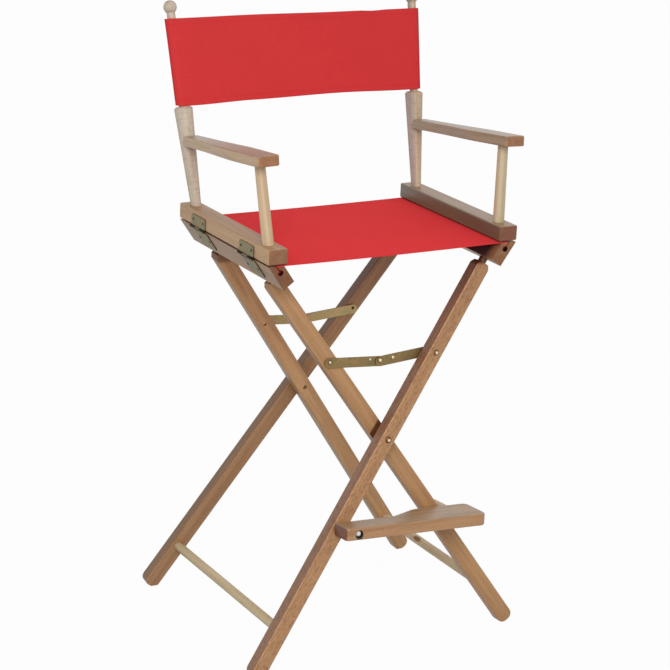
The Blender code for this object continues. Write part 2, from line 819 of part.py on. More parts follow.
def brace_frame(end):
    # x to the right, y up the shared slope, z out of the chair along the brace pivots.
    slope = atan2(brace_slope(), 1.0)
    turn = Matrix.Rotation(pi / 2 - slope, 4, "X") if end == FRONT else (
        Matrix.Rotation(pi, 4, "Z") @ Matrix.Rotation(pi / 2 - slope, 4, "X")
    )
    return at(0.0, 0.0, PIVOT_HEIGHT) @ turn


def strap_outline(length, middle):
    # The strap's middle line passes beside its pivots, so each carries it by its upper part.
    return [
        *arc((0.0, middle), STRAP_HALF, pi / 2, 1.5 * pi, 8),
        *arc((length, middle), STRAP_HALF, -pi / 2, pi / 2, 8),
    ]


def build_braces(legs):
    half_span = BRACE_ON_LEG * sin(LEG_ANGLE)
    for end in (FRONT, REAR):
        word = END_NAME[end]
        base = brace_frame(end)
        # Height of the leg pivots up the slope, and the planes of the straps from the pivot axis
        slope = atan2(brace_slope(), 1.0)
        rise = BRACE_ON_LEG * cos(LEG_ANGLE) / cos(slope)
        wedge = tan(LEG_SPLAY) * sin(LEG_ANGLE) * half_span
        inner_plane = (LEG_FACE - LEG_THICK - LEG_SPACE - wedge) * cos(slope)
        outer_plane = (LEG_FACE - LEG_THICK - wedge) * cos(slope)
        drop = (LEG_FACE - LEG_THICK) * sin(slope)
        middle = (inner_plane + outer_plane) / 2
        lower = (middle - STRAP_THICK - GAP / 2, middle - GAP / 2)
        upper = (middle + GAP / 2, middle + STRAP_THICK + GAP / 2)
        x_left = half_span * (1 if end == REAR else -1)
        y_leg = rise - drop
        knee = Vector((0.0, y_leg - BRACE_DIP))
        for side in (LEFT, RIGHT):
            low, high = lower if side == LEFT else upper
            leg_at = Vector((x_left if side == LEFT else -x_left, y_leg))
            run = leg_at - knee if side == RIGHT else knee - leg_at
            start = knee if side == RIGHT else leg_at
            strap_middle = -STRAP_DROP if run.x > 0.0 else STRAP_DROP
            strap = plate(strap_outline(run.length, strap_middle), STRAP_THICK)
            strap_place = (
                base @ at(start.x, start.y, (low + high) / 2) @ Matrix.Rotation(atan2(run.y, run.x), 4, "Z")
            )
            name = f"{word}_brace_{SIDE_NAME[side]}_link"
            pivot = add_empty(f"{name}_pivot", frames[LEFT], frame_matrix(frames[LEFT], strap_place))
            place(strap, name, "zinc", pivot)
            for number, u in enumerate((0.0, run.length)):
                hole = cylinder(RIVET_RADIUS + GAP, -BORE_RUN, BORE_RUN, 16)
                make_guide(hole, f"{name}_hole_{number}", pivot, at(u, 0.0, 0.0))
                cut(strap, hole)

            # The left pin is driven from the strap's side and ends below the leg's inner face;
            # the right-hand bolt ends inside its leg, clear of the strap
            leg_far = inner_plane - LEG_THICK if side == LEFT else outer_plane + LEG_THICK
            bolt_name = f"{word}_brace_{SIDE_NAME[side]}_bolt"
            spot = base @ at(leg_at.x, leg_at.y, 0.0)
            if side == LEFT:
                tip, seat = -high - RIVET_PLAY, -leg_far - BOLT_RECESS
                bolt = headed_pin(RIVET_RADIUS, tip, seat, *RIVET_FOOT)
                spot = spot @ Matrix.Rotation(pi, 4, "X")
            else:
                tip, seat = high + BOLT_STOP, leg_far + BOLT_SEAT
                bolt = domed_bolt(RIVET_RADIUS, tip, seat, RIVET_HEAD, RIVET_DOME)
            place(bolt, bolt_name, "zinc", frames[side], frame_matrix(frames[side], spot))
            bore = cylinder(RIVET_RADIUS + GAP, -LEG_FACE - LEG_THICK, LEG_FACE + LEG_THICK, 16)
            make_guide(bore, f"{bolt_name}_bore", frames[side], frame_matrix(frames[side], spot))
            cut(legs[side, end], bore)

        tip, seat = lower[0] - RIVET_PLAY, upper[1] + RIVET_PLAY
        rivet = domed_bolt(RIVET_RADIUS, tip, seat, RIVET_HEAD, RIVET_DOME, *RIVET_FOOT)
        left_pivot = bpy.data.objects[f"{word}_brace_left_link_pivot"]
        rivet_place = base @ at(knee.x, knee.y, 0.0)
        place(rivet, f"{word}_brace_rivet", "zinc", left_pivot, frame_matrix(left_pivot, rivet_place))


# Footrest: a board that swings on a bolt in the right frame's front leg

def rest_outline():
    first, last = REST_CURVE
    return rounded_outline([
        (-REST_LEFT, 0.0, REST_HEAD_CORNERS[0]),
        (REST_RIGHT, 0.0, REST_CORNER),
        (REST_RIGHT, REST_WIDE, REST_CORNER),
        (last, REST_WIDE, REST_CURVE_RADII[0]),
        (first, REST_NARROW, REST_CURVE_RADII[1]),
        (-REST_LEFT, REST_NARROW, REST_HEAD_CORNERS[1]),
    ])


def rest_matrix(*turns):
    # The bolt's axis at the board's front edge, square to the slope of the leg it enters.
    x, z = REST_BOLT
    matrix = at(x, REST_FRONT, z) @ Matrix.Rotation(-atan2(brace_slope(), 1.0), 4, "X")
    for turn in turns:
        matrix = matrix @ turn
    return matrix


def rest_bolt_reach():
    # Distance from the board's front edge, along the bolt, to the leg's face.
    x, z = REST_BOLT
    face = LEG_FACE - x * tan(LEG_SPLAY) * sin(LEG_ANGLE) + (PIVOT_HEIGHT - z) * brace_slope()
    return (-REST_FRONT - face) * cos(atan2(brace_slope(), 1.0))


def peg_place(board_matrix):
    # Distance along the board at which the peg's tip lies on the other leg's upper edge.
    edge_normal = Vector((cos(LEG_ANGLE), 0.0, sin(LEG_ANGLE)))
    along_board, to_rear, up_board = (board_matrix.col[i].to_3d() for i in range(3))
    start = board_matrix.translation - Vector((0.0, 0.0, PIVOT_HEIGHT))
    reach = LEG_WIDTH / 2 + PEG_RADIUS + GAP
    tip = start + to_rear * (REST_WIDE + PEG_REACH) + up_board * PEG_RISE
    return (reach - edge_normal.dot(tip)) / edge_normal.dot(along_board)


def build_footrest(legs):
    board_matrix = rest_matrix(Matrix.Rotation(REST_TILT, 4, "Y"))
    swing = add_empty("footrest_swing", frames[RIGHT], frame_matrix(frames[RIGHT], board_matrix))
    board = plate(rest_outline(), REST_THICK, REST_EDGE)
    place(board, "footrest", "beech", swing)
    back = Matrix.Rotation(-pi / 2, 4, "X")
    counterbore = cylinder(REST_BORE, -BORE_RUN, REST_BORE_DEPTH)
    make_guide(counterbore, "rest_counterbore", swing, back)
    leg_at = rest_bolt_reach()
    bore = cylinder(REST_BOLT_RADIUS + GAP, -BORE_RUN, leg_at + REST_BOLT_GRIP + GAP, 16)
    make_guide(bore, "rest_bore", swing, back)
    cut(board, counterbore, bore)
    cut(legs[RIGHT, FRONT], bore)
    bolt_place = frame_matrix(frames[RIGHT], rest_matrix(Matrix.Rotation(pi / 2, 4, "X")))
    tip, seat = -leg_at - REST_BOLT_GRIP, -REST_BORE_DEPTH + GAP
    bolt = domed_bolt(REST_BOLT_RADIUS, tip, seat, *REST_BOLT_HEAD)
    place(bolt, "footrest_bolt", "steel", frames[RIGHT], bolt_place)
    washer = ring(REST_WASHER, REST_BOLT_RADIUS + GAP, -leg_at + REST_WASHER_GAP, -REST_NARROW - GAP)
    place(washer, "footrest_washer", "steel", frames[RIGHT], bolt_place)

    # The peg lies on the upper edge of the other front leg
    peg_matrix = at(peg_place(board_matrix), REST_WIDE, PEG_RISE) @ back
    peg = cylinder(PEG_RADIUS, -PEG_SOCKET, PEG_REACH, 16)
    place(peg, "footrest_peg", "pale_wood", swing, peg_matrix)
    socket = cylinder(PEG_RADIUS + GAP, -PEG_SOCKET - GAP, PEG_REACH, 16)
    make_guide(socket, "peg_socket", swing, peg_matrix)
    cut(board, socket)


# Canvases: open strips of the section, given thickness

def strip(rows):
    mesh = bpy.data.meshes.new("strip")
    work = bmesh.new()
    grid = [[work.verts.new(point) for point in row] for row in rows]
    for lower, upper in zip(grid, grid[1:]):
        for i in range(len(lower) - 1):
            work.faces.new((lower[i], lower[i + 1], upper[i + 1], upper[i]))
    work.to_mesh(mesh)
    work.free()
    smooth(mesh, 60.0)
    obj = bpy.data.objects.new("strip", mesh)
    bpy.context.scene.collection.objects.link(obj)
    solidify = obj.modifiers.new("thickness", "SOLIDIFY")
    solidify.thickness = CANVAS_THICK
    solidify.offset = 0.0
    return obj


def seat_section():
    # Half of the section: hem round the rod, up through the slot, over the rail and across.
    x, z = slot_centre()
    loop = (SLOT_BORE + ROD_RADIUS) / 2
    hem = [(px, pz) for px, pz in arc((x, z), loop, pi / 2 - SEAT_HEM_OPENING, -1.5 * pi, 12)]
    local = [*hem, (x, rail_top(x) - SLOT_CLEARANCE)]
    points = []
    for px, pz in local:
        points.append((
            px * cos(LEG_ANGLE) - pz * sin(LEG_ANGLE),
            PIVOT_HEIGHT + px * sin(LEG_ANGLE) + pz * cos(LEG_ANGLE),
        ))
    level = SEAT_HEIGHT + GAP + CANVAS_THICK / 2
    points.append((points[-1][0] - SEAT_LIP[0], level - SEAT_LIP[1]))
    rail_edge = -(rail_top(RAIL_INSET + RAIL_THICK / 2) * sin(LEG_ANGLE))
    rail_edge += (RAIL_INSET + RAIL_THICK / 2) * cos(LEG_ANGLE)
    points.append((rail_edge, level))
    steps = 8
    for i in range(1, steps + 1):
        share = i / steps
        points.append((rail_edge * (1 - share), level - SEAT_SAG * (1 - (1 - share) ** 2)))
    return points


def build_seat():
    half = seat_section()
    section = half + [(-x, z) for x, z in reversed(half[:-1])]
    rows = []
    for step in range(5):
        y = SEAT_CANVAS_LENGTH * (step / 4 - 0.5)
        rows.append([(x, y, z) for x, z in section])
    place(strip(rows), "seat_canvas", "canvas", chair)


def sleeve(centre, side):
    # Loop round a post's neck: the front layer runs straight on from the panel, then past the
    # outside and the rear, back to the seam behind the panel.
    wide, deep = BACK_SLEEVE
    reach = SEAM_REACH * wide
    loop = [(-reach, -deep)]
    loop += [(-wide * cos(angle), -deep * sin(angle)) for angle in sleeve_angles()]
    loop.append((-reach, -deep + 2 * SEAM_GAP))
    return [(centre.x + side * x, centre.y + y) for x, y in loop]


def sleeve_angles():
    steps = 12
    start, end = SLEEVE_TURN
    return [start + (end - start) * i / steps for i in range(steps + 1)]


def build_back():
    rows = []
    for step in range(5):
        z = BACK_BOTTOM + (BACK_TOP - BACK_BOTTOM) * step / 4
        row = []
        for side in (LEFT, RIGHT):
            centre = lean(BACK_POST_FOOT, BACK_POST_LEAN, side, z)
            loop = sleeve(centre, side)
            row += loop if side == RIGHT else loop[::-1]
        rows.append([(x, y, z) for x, y in row])
    place(strip(rows), "back_canvas", "canvas", arms[LEFT], frame_matrix(arms[LEFT], Matrix()))


legs = build_legs()
build_stretchers(legs)
build_rails()
for arm_side in (LEFT, RIGHT):
    build_arm(arm_side)
    build_hinges(arm_side)
build_pivots(legs)
build_braces(legs)
build_footrest(legs)
build_seat()
build_back()
bpy.context.view_layer.update()
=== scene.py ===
import json
from math import cos, hypot, pi, radians, sin

import bmesh
import bpy
from mathutils import Matrix, Vector


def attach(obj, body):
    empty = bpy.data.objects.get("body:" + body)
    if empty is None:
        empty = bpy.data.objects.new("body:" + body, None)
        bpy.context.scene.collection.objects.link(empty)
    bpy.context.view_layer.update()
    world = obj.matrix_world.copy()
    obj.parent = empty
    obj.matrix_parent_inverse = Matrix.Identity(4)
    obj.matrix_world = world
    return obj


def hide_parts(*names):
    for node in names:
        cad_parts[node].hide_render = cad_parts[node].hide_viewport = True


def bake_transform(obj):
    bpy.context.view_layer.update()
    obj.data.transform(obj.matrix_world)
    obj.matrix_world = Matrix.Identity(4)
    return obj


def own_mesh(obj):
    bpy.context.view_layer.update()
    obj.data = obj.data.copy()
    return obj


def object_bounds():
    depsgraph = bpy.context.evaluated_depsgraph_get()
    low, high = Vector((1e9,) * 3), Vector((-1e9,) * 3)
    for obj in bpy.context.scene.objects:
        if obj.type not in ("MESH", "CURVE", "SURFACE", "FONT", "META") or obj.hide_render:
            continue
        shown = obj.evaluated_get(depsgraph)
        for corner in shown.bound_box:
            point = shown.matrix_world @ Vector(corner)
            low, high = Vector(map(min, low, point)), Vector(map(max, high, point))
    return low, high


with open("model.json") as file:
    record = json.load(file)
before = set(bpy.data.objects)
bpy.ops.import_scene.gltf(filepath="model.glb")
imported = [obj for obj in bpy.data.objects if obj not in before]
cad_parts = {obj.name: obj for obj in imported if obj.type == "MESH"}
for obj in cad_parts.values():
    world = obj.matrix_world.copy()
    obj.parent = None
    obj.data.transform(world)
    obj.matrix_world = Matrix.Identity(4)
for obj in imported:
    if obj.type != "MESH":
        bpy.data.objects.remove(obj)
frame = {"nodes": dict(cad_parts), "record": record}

scene = bpy.context.scene
nodes = frame["nodes"]
cadLow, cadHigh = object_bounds()
bpy.ops.object.select_all(action="DESELECT")
print("frame loaded:", len(nodes), "nodes")


# camera, at the place that the picture was taken from
cameraSetup = {
    "focalPixels": 2257.83,
    "framePixels": 670,
    "sensor": 36.0,
    "azimuth": -30.26,
    "elevation": 17.47,
    "roll": 2.83,
    "place": (-2.0659, -3.51362, 1.8382),
}


def makeCamera(setup):
    azimuth, elevation, roll = (radians(setup[k]) for k in ("azimuth", "elevation", "roll"))
    level = Vector((cos(azimuth), sin(azimuth), 0.0))
    back = Vector((sin(azimuth) * cos(elevation), -cos(azimuth) * cos(elevation), sin(elevation)))
    rise = back.cross(level)
    right = level * cos(roll) + rise * sin(roll)
    up = rise * cos(roll) - level * sin(roll)
    turn = Matrix((right, up, back)).transposed().to_4x4()
    data = bpy.data.cameras.new("photoCamera")
    data.sensor_width = setup["sensor"]
    data.lens = setup["sensor"] * setup["focalPixels"] / setup["framePixels"]
    camera = bpy.data.objects.new("photoCamera", data)
    scene.collection.objects.link(camera)
    camera.matrix_world = Matrix.Translation(setup["place"]) @ turn
    scene.camera = camera


makeCamera(cameraSetup)
print("camera placed")


# small helpers for node trees
def addNode(tree, kind, **values):
    node = tree.nodes.new(kind)
    for key, value in values.items():
        setattr(node, key, value)
    return node


def feed(tree, node, socket, value):
    target = node.inputs[socket]
    if isinstance(value, bpy.types.NodeSocket):
        tree.links.new(value, target)
    else:
        target.default_value = value


def mathNode(tree, operation, *values, clamp=False):
    node = addNode(tree, "ShaderNodeMath", operation=operation, use_clamp=clamp)
    for index, value in enumerate(values):
        feed(tree, node, index, value)
    return node.outputs[0]


def vectorMath(tree, operation, *values):
    node = addNode(tree, "ShaderNodeVectorMath", operation=operation)
    for index, value in enumerate(values):
        feed(tree, node, index, value)
    return node.outputs[0]


def dotNode(tree, first, second):
    node = addNode(tree, "ShaderNodeVectorMath", operation="DOT_PRODUCT")
    feed(tree, node, 0, first)
    feed(tree, node, 1, second)
    return node.outputs["Value"]


def splitVector(tree, vector):
    node = addNode(tree, "ShaderNodeSeparateXYZ")
    feed(tree, node, 0, vector)
    return node.outputs


def mixColour(tree, share, first, second, blend="MIX"):
    node = addNode(tree, "ShaderNodeMix", data_type="RGBA", blend_type=blend)
    feed(tree, node, 0, share)
    feed(tree, node, 6, first)
    feed(tree, node, 7, second)
    return node.outputs[2]


def noiseNode(tree, vector, scale, detail=2.0, roughness=0.5, distortion=0.0):
    node = addNode(tree, "ShaderNodeTexNoise")
    feed(tree, node, "Vector", vector)
    feed(tree, node, "Scale", scale)
    feed(tree, node, "Detail", detail)
    feed(tree, node, "Roughness", roughness)
    feed(tree, node, "Distortion", distortion)
    return node.outputs[0]


def stretchedNoise(tree, vector, stretch, scale, *rest):
    return noiseNode(tree, vectorMath(tree, "MULTIPLY", vector, stretch), scale, *rest)


def rangeNode(tree, value, low, high, toLow=0.0, toHigh=1.0):
    node = addNode(tree, "ShaderNodeMapRange", clamp=True, interpolation_type="SMOOTHSTEP")
    for index, item in enumerate((value, low, high, toLow, toHigh)):
        feed(tree, node, index, item)
    return node.outputs[0]


def newGroup(name, inputs, outputs):
    tree = bpy.data.node_groups.new(name, "ShaderNodeTree")
    for label, kind, value in inputs:
        socket = tree.interface.new_socket(label, in_out="INPUT", socket_type="NodeSocket" + kind)
        socket.default_value = value
    for label, kind in outputs:
        tree.interface.new_socket(label, in_out="OUTPUT", socket_type="NodeSocket" + kind)
    return tree, tree.nodes.new("NodeGroupInput"), tree.nodes.new("NodeGroupOutput")


def tone(red, green, blue):
    # a colour as it is seen on a screen, 0 to 255
    def straight(value):
        share = value / 255
        return share / 12.92 if share <= 0.04045 else ((share + 0.055) / 1.055) ** 2.4
    return (straight(red), straight(green), straight(blue), 1.0)


# wood: growth bands, long fibres and short dark flecks, with z along the grain,
# x out of the sawn edges and darker pores where the grain ends;
# the Edge and Flat tones also carry painted light and shade, set board by board
def makeWoodGroup():
    tree, given, result = newGroup(
        "woodFigure",
        [
            ("Vector", "Vector", (0.0, 0.0, 0.0)),
            ("Normal", "Vector", (0.0, 0.0, 0.0)),
            ("Light", "Color", (0.6, 0.4, 0.25, 1.0)),
            ("Dark", "Color", (0.4, 0.22, 0.12, 1.0)),
            ("Fleck", "Color", (0.2, 0.1, 0.05, 1.0)),
            ("Edge", "Color", (1.0, 1.0, 1.0, 1.0)),
            ("Flat", "Color", (1.0, 1.0, 1.0, 1.0)),
            ("End", "Color", (0.6, 0.5, 0.5, 1.0)),
            ("Band Size", "Float", 0.012),
            ("Band Amount", "Float", 0.62),
            ("Fleck Scale", "Float", 760.0),
            ("Fleck Density", "Float", 0.0),
            ("Fleck Amount", "Float", 0.5),
            ("Ray Amount", "Float", 0.0),
        ],
        [("Color", "Color"), ("Roughness", "Float"), ("Height", "Float")],
    )
    vector = given.outputs["Vector"]
    perBand = mathNode(tree, "DIVIDE", 1.0, given.outputs["Band Size"])
    bands = stretchedNoise(tree, vector, (1.0, 1.0, 0.045), perBand, 3.0, 0.55, 0.6)
    broad = stretchedNoise(tree, vector, (1.0, 1.0, 0.25), 14.0, 2.0)
    fibre = stretchedNoise(tree, vector, (1.0, 1.0, 0.02), 900.0, 2.0, 0.6)
    dash = stretchedNoise(tree, vector, (1.0, 1.0, 0.22), given.outputs["Fleck Scale"], 1.0)
    rays = stretchedNoise(tree, vector, (1.0, 1.0, 3.4), 60.0, 2.0)
    dense = mathNode(tree, "ADD", dash, given.outputs["Fleck Density"])
    dark = rangeNode(tree, dense, 0.60, 0.72)
    flecks = mathNode(tree, "MULTIPLY", dark, given.outputs["Fleck Amount"])
    share = rangeNode(tree, bands, 0.34, 0.68)
    share = mathNode(tree, "MULTIPLY", share, given.outputs["Band Amount"])
    share = mathNode(tree, "MULTIPLY_ADD", broad, 0.45, share)
    share = mathNode(tree, "MULTIPLY_ADD", fibre, 0.22, share)
    streaks = rangeNode(tree, rays, 0.50, 0.62)
    share = mathNode(tree, "ADD", share, mathNode(tree, "MULTIPLY", streaks, given.outputs["Ray Amount"]))
    share = mathNode(tree, "SUBTRACT", share, 0.14, clamp=True)
    colour = mixColour(tree, share, given.outputs["Light"], given.outputs["Dark"])
    colour = mixColour(tree, flecks, colour, given.outputs["Fleck"])
    faces = splitVector(tree, vectorMath(tree, "ABSOLUTE", given.outputs["Normal"]))
    # Edge and Flat: tones of the sawn edges and flat faces, which also hold painted light and shade
    edged = mixColour(tree, 1.0, colour, given.outputs["Edge"], "MULTIPLY")
    flats = mixColour(tree, 1.0, colour, given.outputs["Flat"], "MULTIPLY")
    colour = mixColour(tree, rangeNode(tree, faces[0], 0.55, 0.90), colour, edged)
    colour = mixColour(tree, rangeNode(tree, faces[1], 0.55, 0.90), colour, flats)
    pores = stretchedNoise(tree, vector, (1.0, 1.0, 0.3), 1300.0, 1.0)
    ended = mixColour(tree, 1.0, colour, given.outputs["End"], "MULTIPLY")
    poreShare = rangeNode(tree, pores, 0.52, 0.75, 0.0, 0.45)
    ended = mixColour(tree, poreShare, ended, given.outputs["Fleck"])
    colour = mixColour(tree, rangeNode(tree, faces[2], 0.55, 0.90), colour, ended)
    feed(tree, result, "Color", colour)
    rough = mathNode(tree, "MULTIPLY_ADD", fibre, 0.18, 0.36)
    feed(tree, result, "Roughness", mathNode(tree, "MULTIPLY_ADD", flecks, 0.15, rough))
    height = mathNode(tree, "MULTIPLY_ADD", fibre, 0.5, mathNode(tree, "MULTIPLY", flecks, -0.7))
    feed(tree, result, "Height", height)
    return tree


# plate: the cloudy tints of a passivated zinc coat, with fine handling scratches
def makePlateGroup():
    tree, given, result = newGroup(
        "plateTint",
        [
            ("Vector", "Vector", (0.0, 0.0, 0.0)),
            ("Main", "Color", (0.35, 0.3, 0.14, 1.0)),
            ("Warm", "Color", (0.5, 0.36, 0.16, 1.0)),
            ("Cool", "Color", (0.28, 0.32, 0.16, 1.0)),
            ("Roughness", "Float", 0.4),
        ],
        [("Color", "Color"), ("Roughness", "Float"), ("Height", "Float")],
    )
    vector = given.outputs["Vector"]
    cloud = noiseNode(tree, vector, 55.0, 3.0, 0.6)
    patch = noiseNode(tree, vectorMath(tree, "ADD", vector, (3.1, 1.7, 0.4)), 90.0, 2.0)
    scratch = stretchedNoise(tree, vector, (0.15, 1.0, 1.0), 1500.0, 2.0)
    warm, cool = rangeNode(tree, cloud, 0.42, 0.68), rangeNode(tree, patch, 0.50, 0.72)
    colour = mixColour(tree, warm, given.outputs["Main"], given.outputs["Warm"])
    colour = mixColour(tree, cool, colour, given.outputs["Cool"])
    feed(tree, result, "Color", colour)
    rough = mathNode(tree, "MULTIPLY_ADD", cloud, 0.16, given.outputs["Roughness"])
    feed(tree, result, "Roughness", mathNode(tree, "MULTIPLY_ADD", scratch, 0.14, rough))
    feed(tree, result, "Height", scratch)
    return tree


# duck canvas: a plain weave of round threads, measured in metres of cloth,
# with a row of stitches along each hem
def makeWeaveGroup():
    tree, given, result = newGroup(
        "duckWeave",
        [
            ("Vector", "Vector", (0.0, 0.0, 0.0)),
            ("Thread", "Float", 0.0008),
            ("Main", "Color", (0.6, 0.04, 0.045, 1.0)),
            ("Shade", "Color", (0.45, 0.025, 0.03, 1.0)),
            ("Low Edge", "Float", 0.0),
            ("High Edge", "Float", 0.15),
            ("Hem", "Float", 0.012),
            ("Stitch", "Float", 0.003),
        ],
        [("Color", "Color"), ("Roughness", "Float"), ("Height", "Float")],
    )
    vector = given.outputs["Vector"]
    axes = splitVector(tree, vector)
    across = mathNode(tree, "DIVIDE", axes[0], given.outputs["Thread"])
    along = mathNode(tree, "DIVIDE", axes[1], given.outputs["Thread"])
    ribs = []
    for here, there, turn in ((across, along, 0.0), (along, across, pi)):
        ridge = mathNode(tree, "ABSOLUTE", mathNode(tree, "SINE", mathNode(tree, "MULTIPLY", here, pi)))
        step = mathNode(tree, "MULTIPLY_ADD", mathNode(tree, "FLOOR", here), pi, turn)
        wave = mathNode(tree, "COSINE", mathNode(tree, "MULTIPLY_ADD", there, pi, step))
        ribs.append(mathNode(tree, "MULTIPLY", ridge, mathNode(tree, "MULTIPLY_ADD", wave, 0.5, 0.5)))
    threads = mathNode(tree, "MAXIMUM", *ribs)
    slub = stretchedNoise(tree, vector, (1.0, 0.08, 1.0), 420.0, 2.0)
    cross = stretchedNoise(tree, vector, (0.08, 1.0, 1.0), 420.0, 2.0)
    cloud = noiseNode(tree, vector, 9.0, 3.0, 0.55)
    share = mathNode(tree, "MULTIPLY_ADD", threads, -0.35, 0.42)
    for noise, weight in ((slub, 0.30), (cross, 0.30), (cloud, 0.30)):
        share = mathNode(tree, "MULTIPLY_ADD", noise, weight, share)
    share = mathNode(tree, "SUBTRACT", share, 0.32, clamp=True)
    inside = mathNode(tree, "MINIMUM", mathNode(tree, "SUBTRACT", axes[1], given.outputs["Low Edge"]),
                      mathNode(tree, "SUBTRACT", given.outputs["High Edge"], axes[1]))
    offLine = mathNode(tree, "ABSOLUTE", mathNode(tree, "SUBTRACT", inside, given.outputs["Hem"]))
    turns = mathNode(tree, "MULTIPLY", axes[0], 2 * pi)
    dashes = mathNode(tree, "SINE", mathNode(tree, "DIVIDE", turns, given.outputs["Stitch"]))
    row = mathNode(tree, "MULTIPLY", rangeNode(tree, offLine, 0.0003, 0.0007, 1.0, 0.0),
                   rangeNode(tree, dashes, -0.7, -0.3))
    # painted shade along the stitched hollow of each hem; the cloth is also darker towards its cut edges
    hollowAndShade = rangeNode(tree, offLine, 0.0004, 0.0022, 1.0, 0.0)
    rim = rangeNode(tree, inside, 0.0, 0.0022, 1.0, 0.0)
    share = mathNode(tree, "MULTIPLY_ADD", hollowAndShade, 0.22, share)
    share = mathNode(tree, "MULTIPLY_ADD", rim, 0.45, share)
    share = mathNode(tree, "MULTIPLY_ADD", row, -0.30, share, clamp=True)
    feed(tree, result, "Color", mixColour(tree, share, given.outputs["Main"], given.outputs["Shade"]))
    feed(tree, result, "Roughness", mathNode(tree, "MULTIPLY_ADD", slub, 0.10, 0.84))
    height = mathNode(tree, "MULTIPLY_ADD", cloud, 0.6, threads)
    height = mathNode(tree, "MULTIPLY_ADD", hollowAndShade, -0.8, height)
    feed(tree, result, "Height", mathNode(tree, "MULTIPLY_ADD", row, 1.4, height))
    return tree


# a round patch about the y axis of a centred vector, for knots, for painted shade in bores and for painted
# shade on the rims of small heads
def makeRoundGroup():
    tree, given, result = newGroup(
        "roundPatch",
        [
            ("Color", "Color", (0.5, 0.5, 0.5, 1.0)),
            ("Patch", "Color", (0.1, 0.1, 0.1, 1.0)),
            ("Vector", "Vector", (0.0, 0.0, 0.0)),
            ("Radius", "Float", 0.004),
            ("Soft", "Float", 0.001),
        ],
        [("Color", "Color")],
    )
    length = addNode(tree, "ShaderNodeVectorMath", operation="LENGTH")
    feed(tree, length, 0, given.outputs["Vector"])
    past = mathNode(tree, "SUBTRACT", length.outputs["Value"], given.outputs["Radius"])
    share = mathNode(tree, "DIVIDE", past, given.outputs["Soft"])
    inside = rangeNode(tree, share, -0.5, 0.5, 1.0, 0.0)
    feed(tree, result, "Color", mixColour(tree, inside, given.outputs["Color"], given.outputs["Patch"]))
    return tree


# a tone past a place along an axis, on the faces that look one way,
# for painted shade on sides, in gaps, at knuckles and leg necks, a painted shadow strip,
# a painted highlight along an arris, and a rail face that darkens towards the rear
def makeBandGroup():
    tree, given, result = newGroup(
        "bandTone",
        [
            ("Color", "Color", (0.5, 0.5, 0.5, 1.0)),
            ("Tone", "Color", (0.3, 0.3, 0.3, 1.0)),
            ("Vector", "Vector", (0.0, 0.0, 0.0)),
            ("Normal", "Vector", (0.0, 0.0, 1.0)),
            ("Axis", "Vector", (0.0, 0.0, 1.0)),
            ("Facing", "Vector", (0.0, 0.0, 0.0)),
            ("Least", "Float", -1.0),
            ("Start", "Float", -10.0),
            ("From", "Float", 0.70),
            ("To", "Float", 0.72),
        ],
        [("Color", "Color")],
    )
    along = dotNode(tree, given.outputs["Vector"], given.outputs["Axis"])
    past = rangeNode(tree, along, given.outputs["From"], given.outputs["To"])
    facing = dotNode(tree, given.outputs["Normal"], given.outputs["Facing"])
    turned = mathNode(tree, "GREATER_THAN", facing, given.outputs["Least"])
    toned = mixColour(tree, 1.0, given.outputs["Color"], given.outputs["Tone"], "MULTIPLY")
    started = mathNode(tree, "GREATER_THAN", along, given.outputs["Start"])
    share = mathNode(tree, "MULTIPLY", past, mathNode(tree, "MULTIPLY", turned, started))
    feed(tree, result, "Color", mixColour(tree, share, given.outputs["Color"], toned))
    return tree


# painted shade: a darker tone on every face that doesn't look along x, on the rims and knuckles of thin
# plates
def makeRimGroup():
    tree, given, result = newGroup(
        "rimTone",
        [
            ("Color", "Color", (0.5, 0.5, 0.5, 1.0)),
            ("Tone", "Color", (0.3, 0.3, 0.3, 1.0)),
            ("Normal", "Vector", (1.0, 0.0, 0.0)),
        ],
        [("Color", "Color")],
    )
    facing = splitVector(tree, vectorMath(tree, "ABSOLUTE", given.outputs["Normal"]))[0]
    toned = mixColour(tree, 1.0, given.outputs["Color"], given.outputs["Tone"], "MULTIPLY")
    share = rangeNode(tree, facing, 0.25, 0.60, 1.0, 0.0)
    feed(tree, result, "Color", mixColour(tree, share, given.outputs["Color"], toned))
    return tree


groups = {
    "wood": makeWoodGroup(), "plate": makePlateGroup(), "weave": makeWeaveGroup(),
    "round": makeRoundGroup(), "band": makeBandGroup(), "rim": makeRimGroup(),
}


reliefs = {  # strength, then depth in metres
    "wood": (0.30, 0.0006), "plate": (0.12, 0.0002), "weave": (0.35, 0.0004),
}
squareOn = 0.7  # how nearly a face looks the given way before a tone takes it


def startMaterial(name, groupName):
    material = bpy.data.materials.new(name)
    material.use_nodes = True
    tree = material.node_tree
    shader = tree.nodes["Principled BSDF"]
    group = addNode(tree, "ShaderNodeGroup", node_tree=groups[groupName])
    bump = addNode(tree, "ShaderNodeBump")
    strength, depth = reliefs[groupName]
    bump.inputs["Strength"].default_value = strength
    bump.inputs["Distance"].default_value = depth
    tree.links.new(group.outputs["Color"], shader.inputs["Base Color"])
    tree.links.new(group.outputs["Roughness"], shader.inputs["Roughness"])
    tree.links.new(group.outputs["Height"], bump.inputs["Height"])
    tree.links.new(bump.outputs["Normal"], shader.inputs["Normal"])
    return material, tree, shader, group


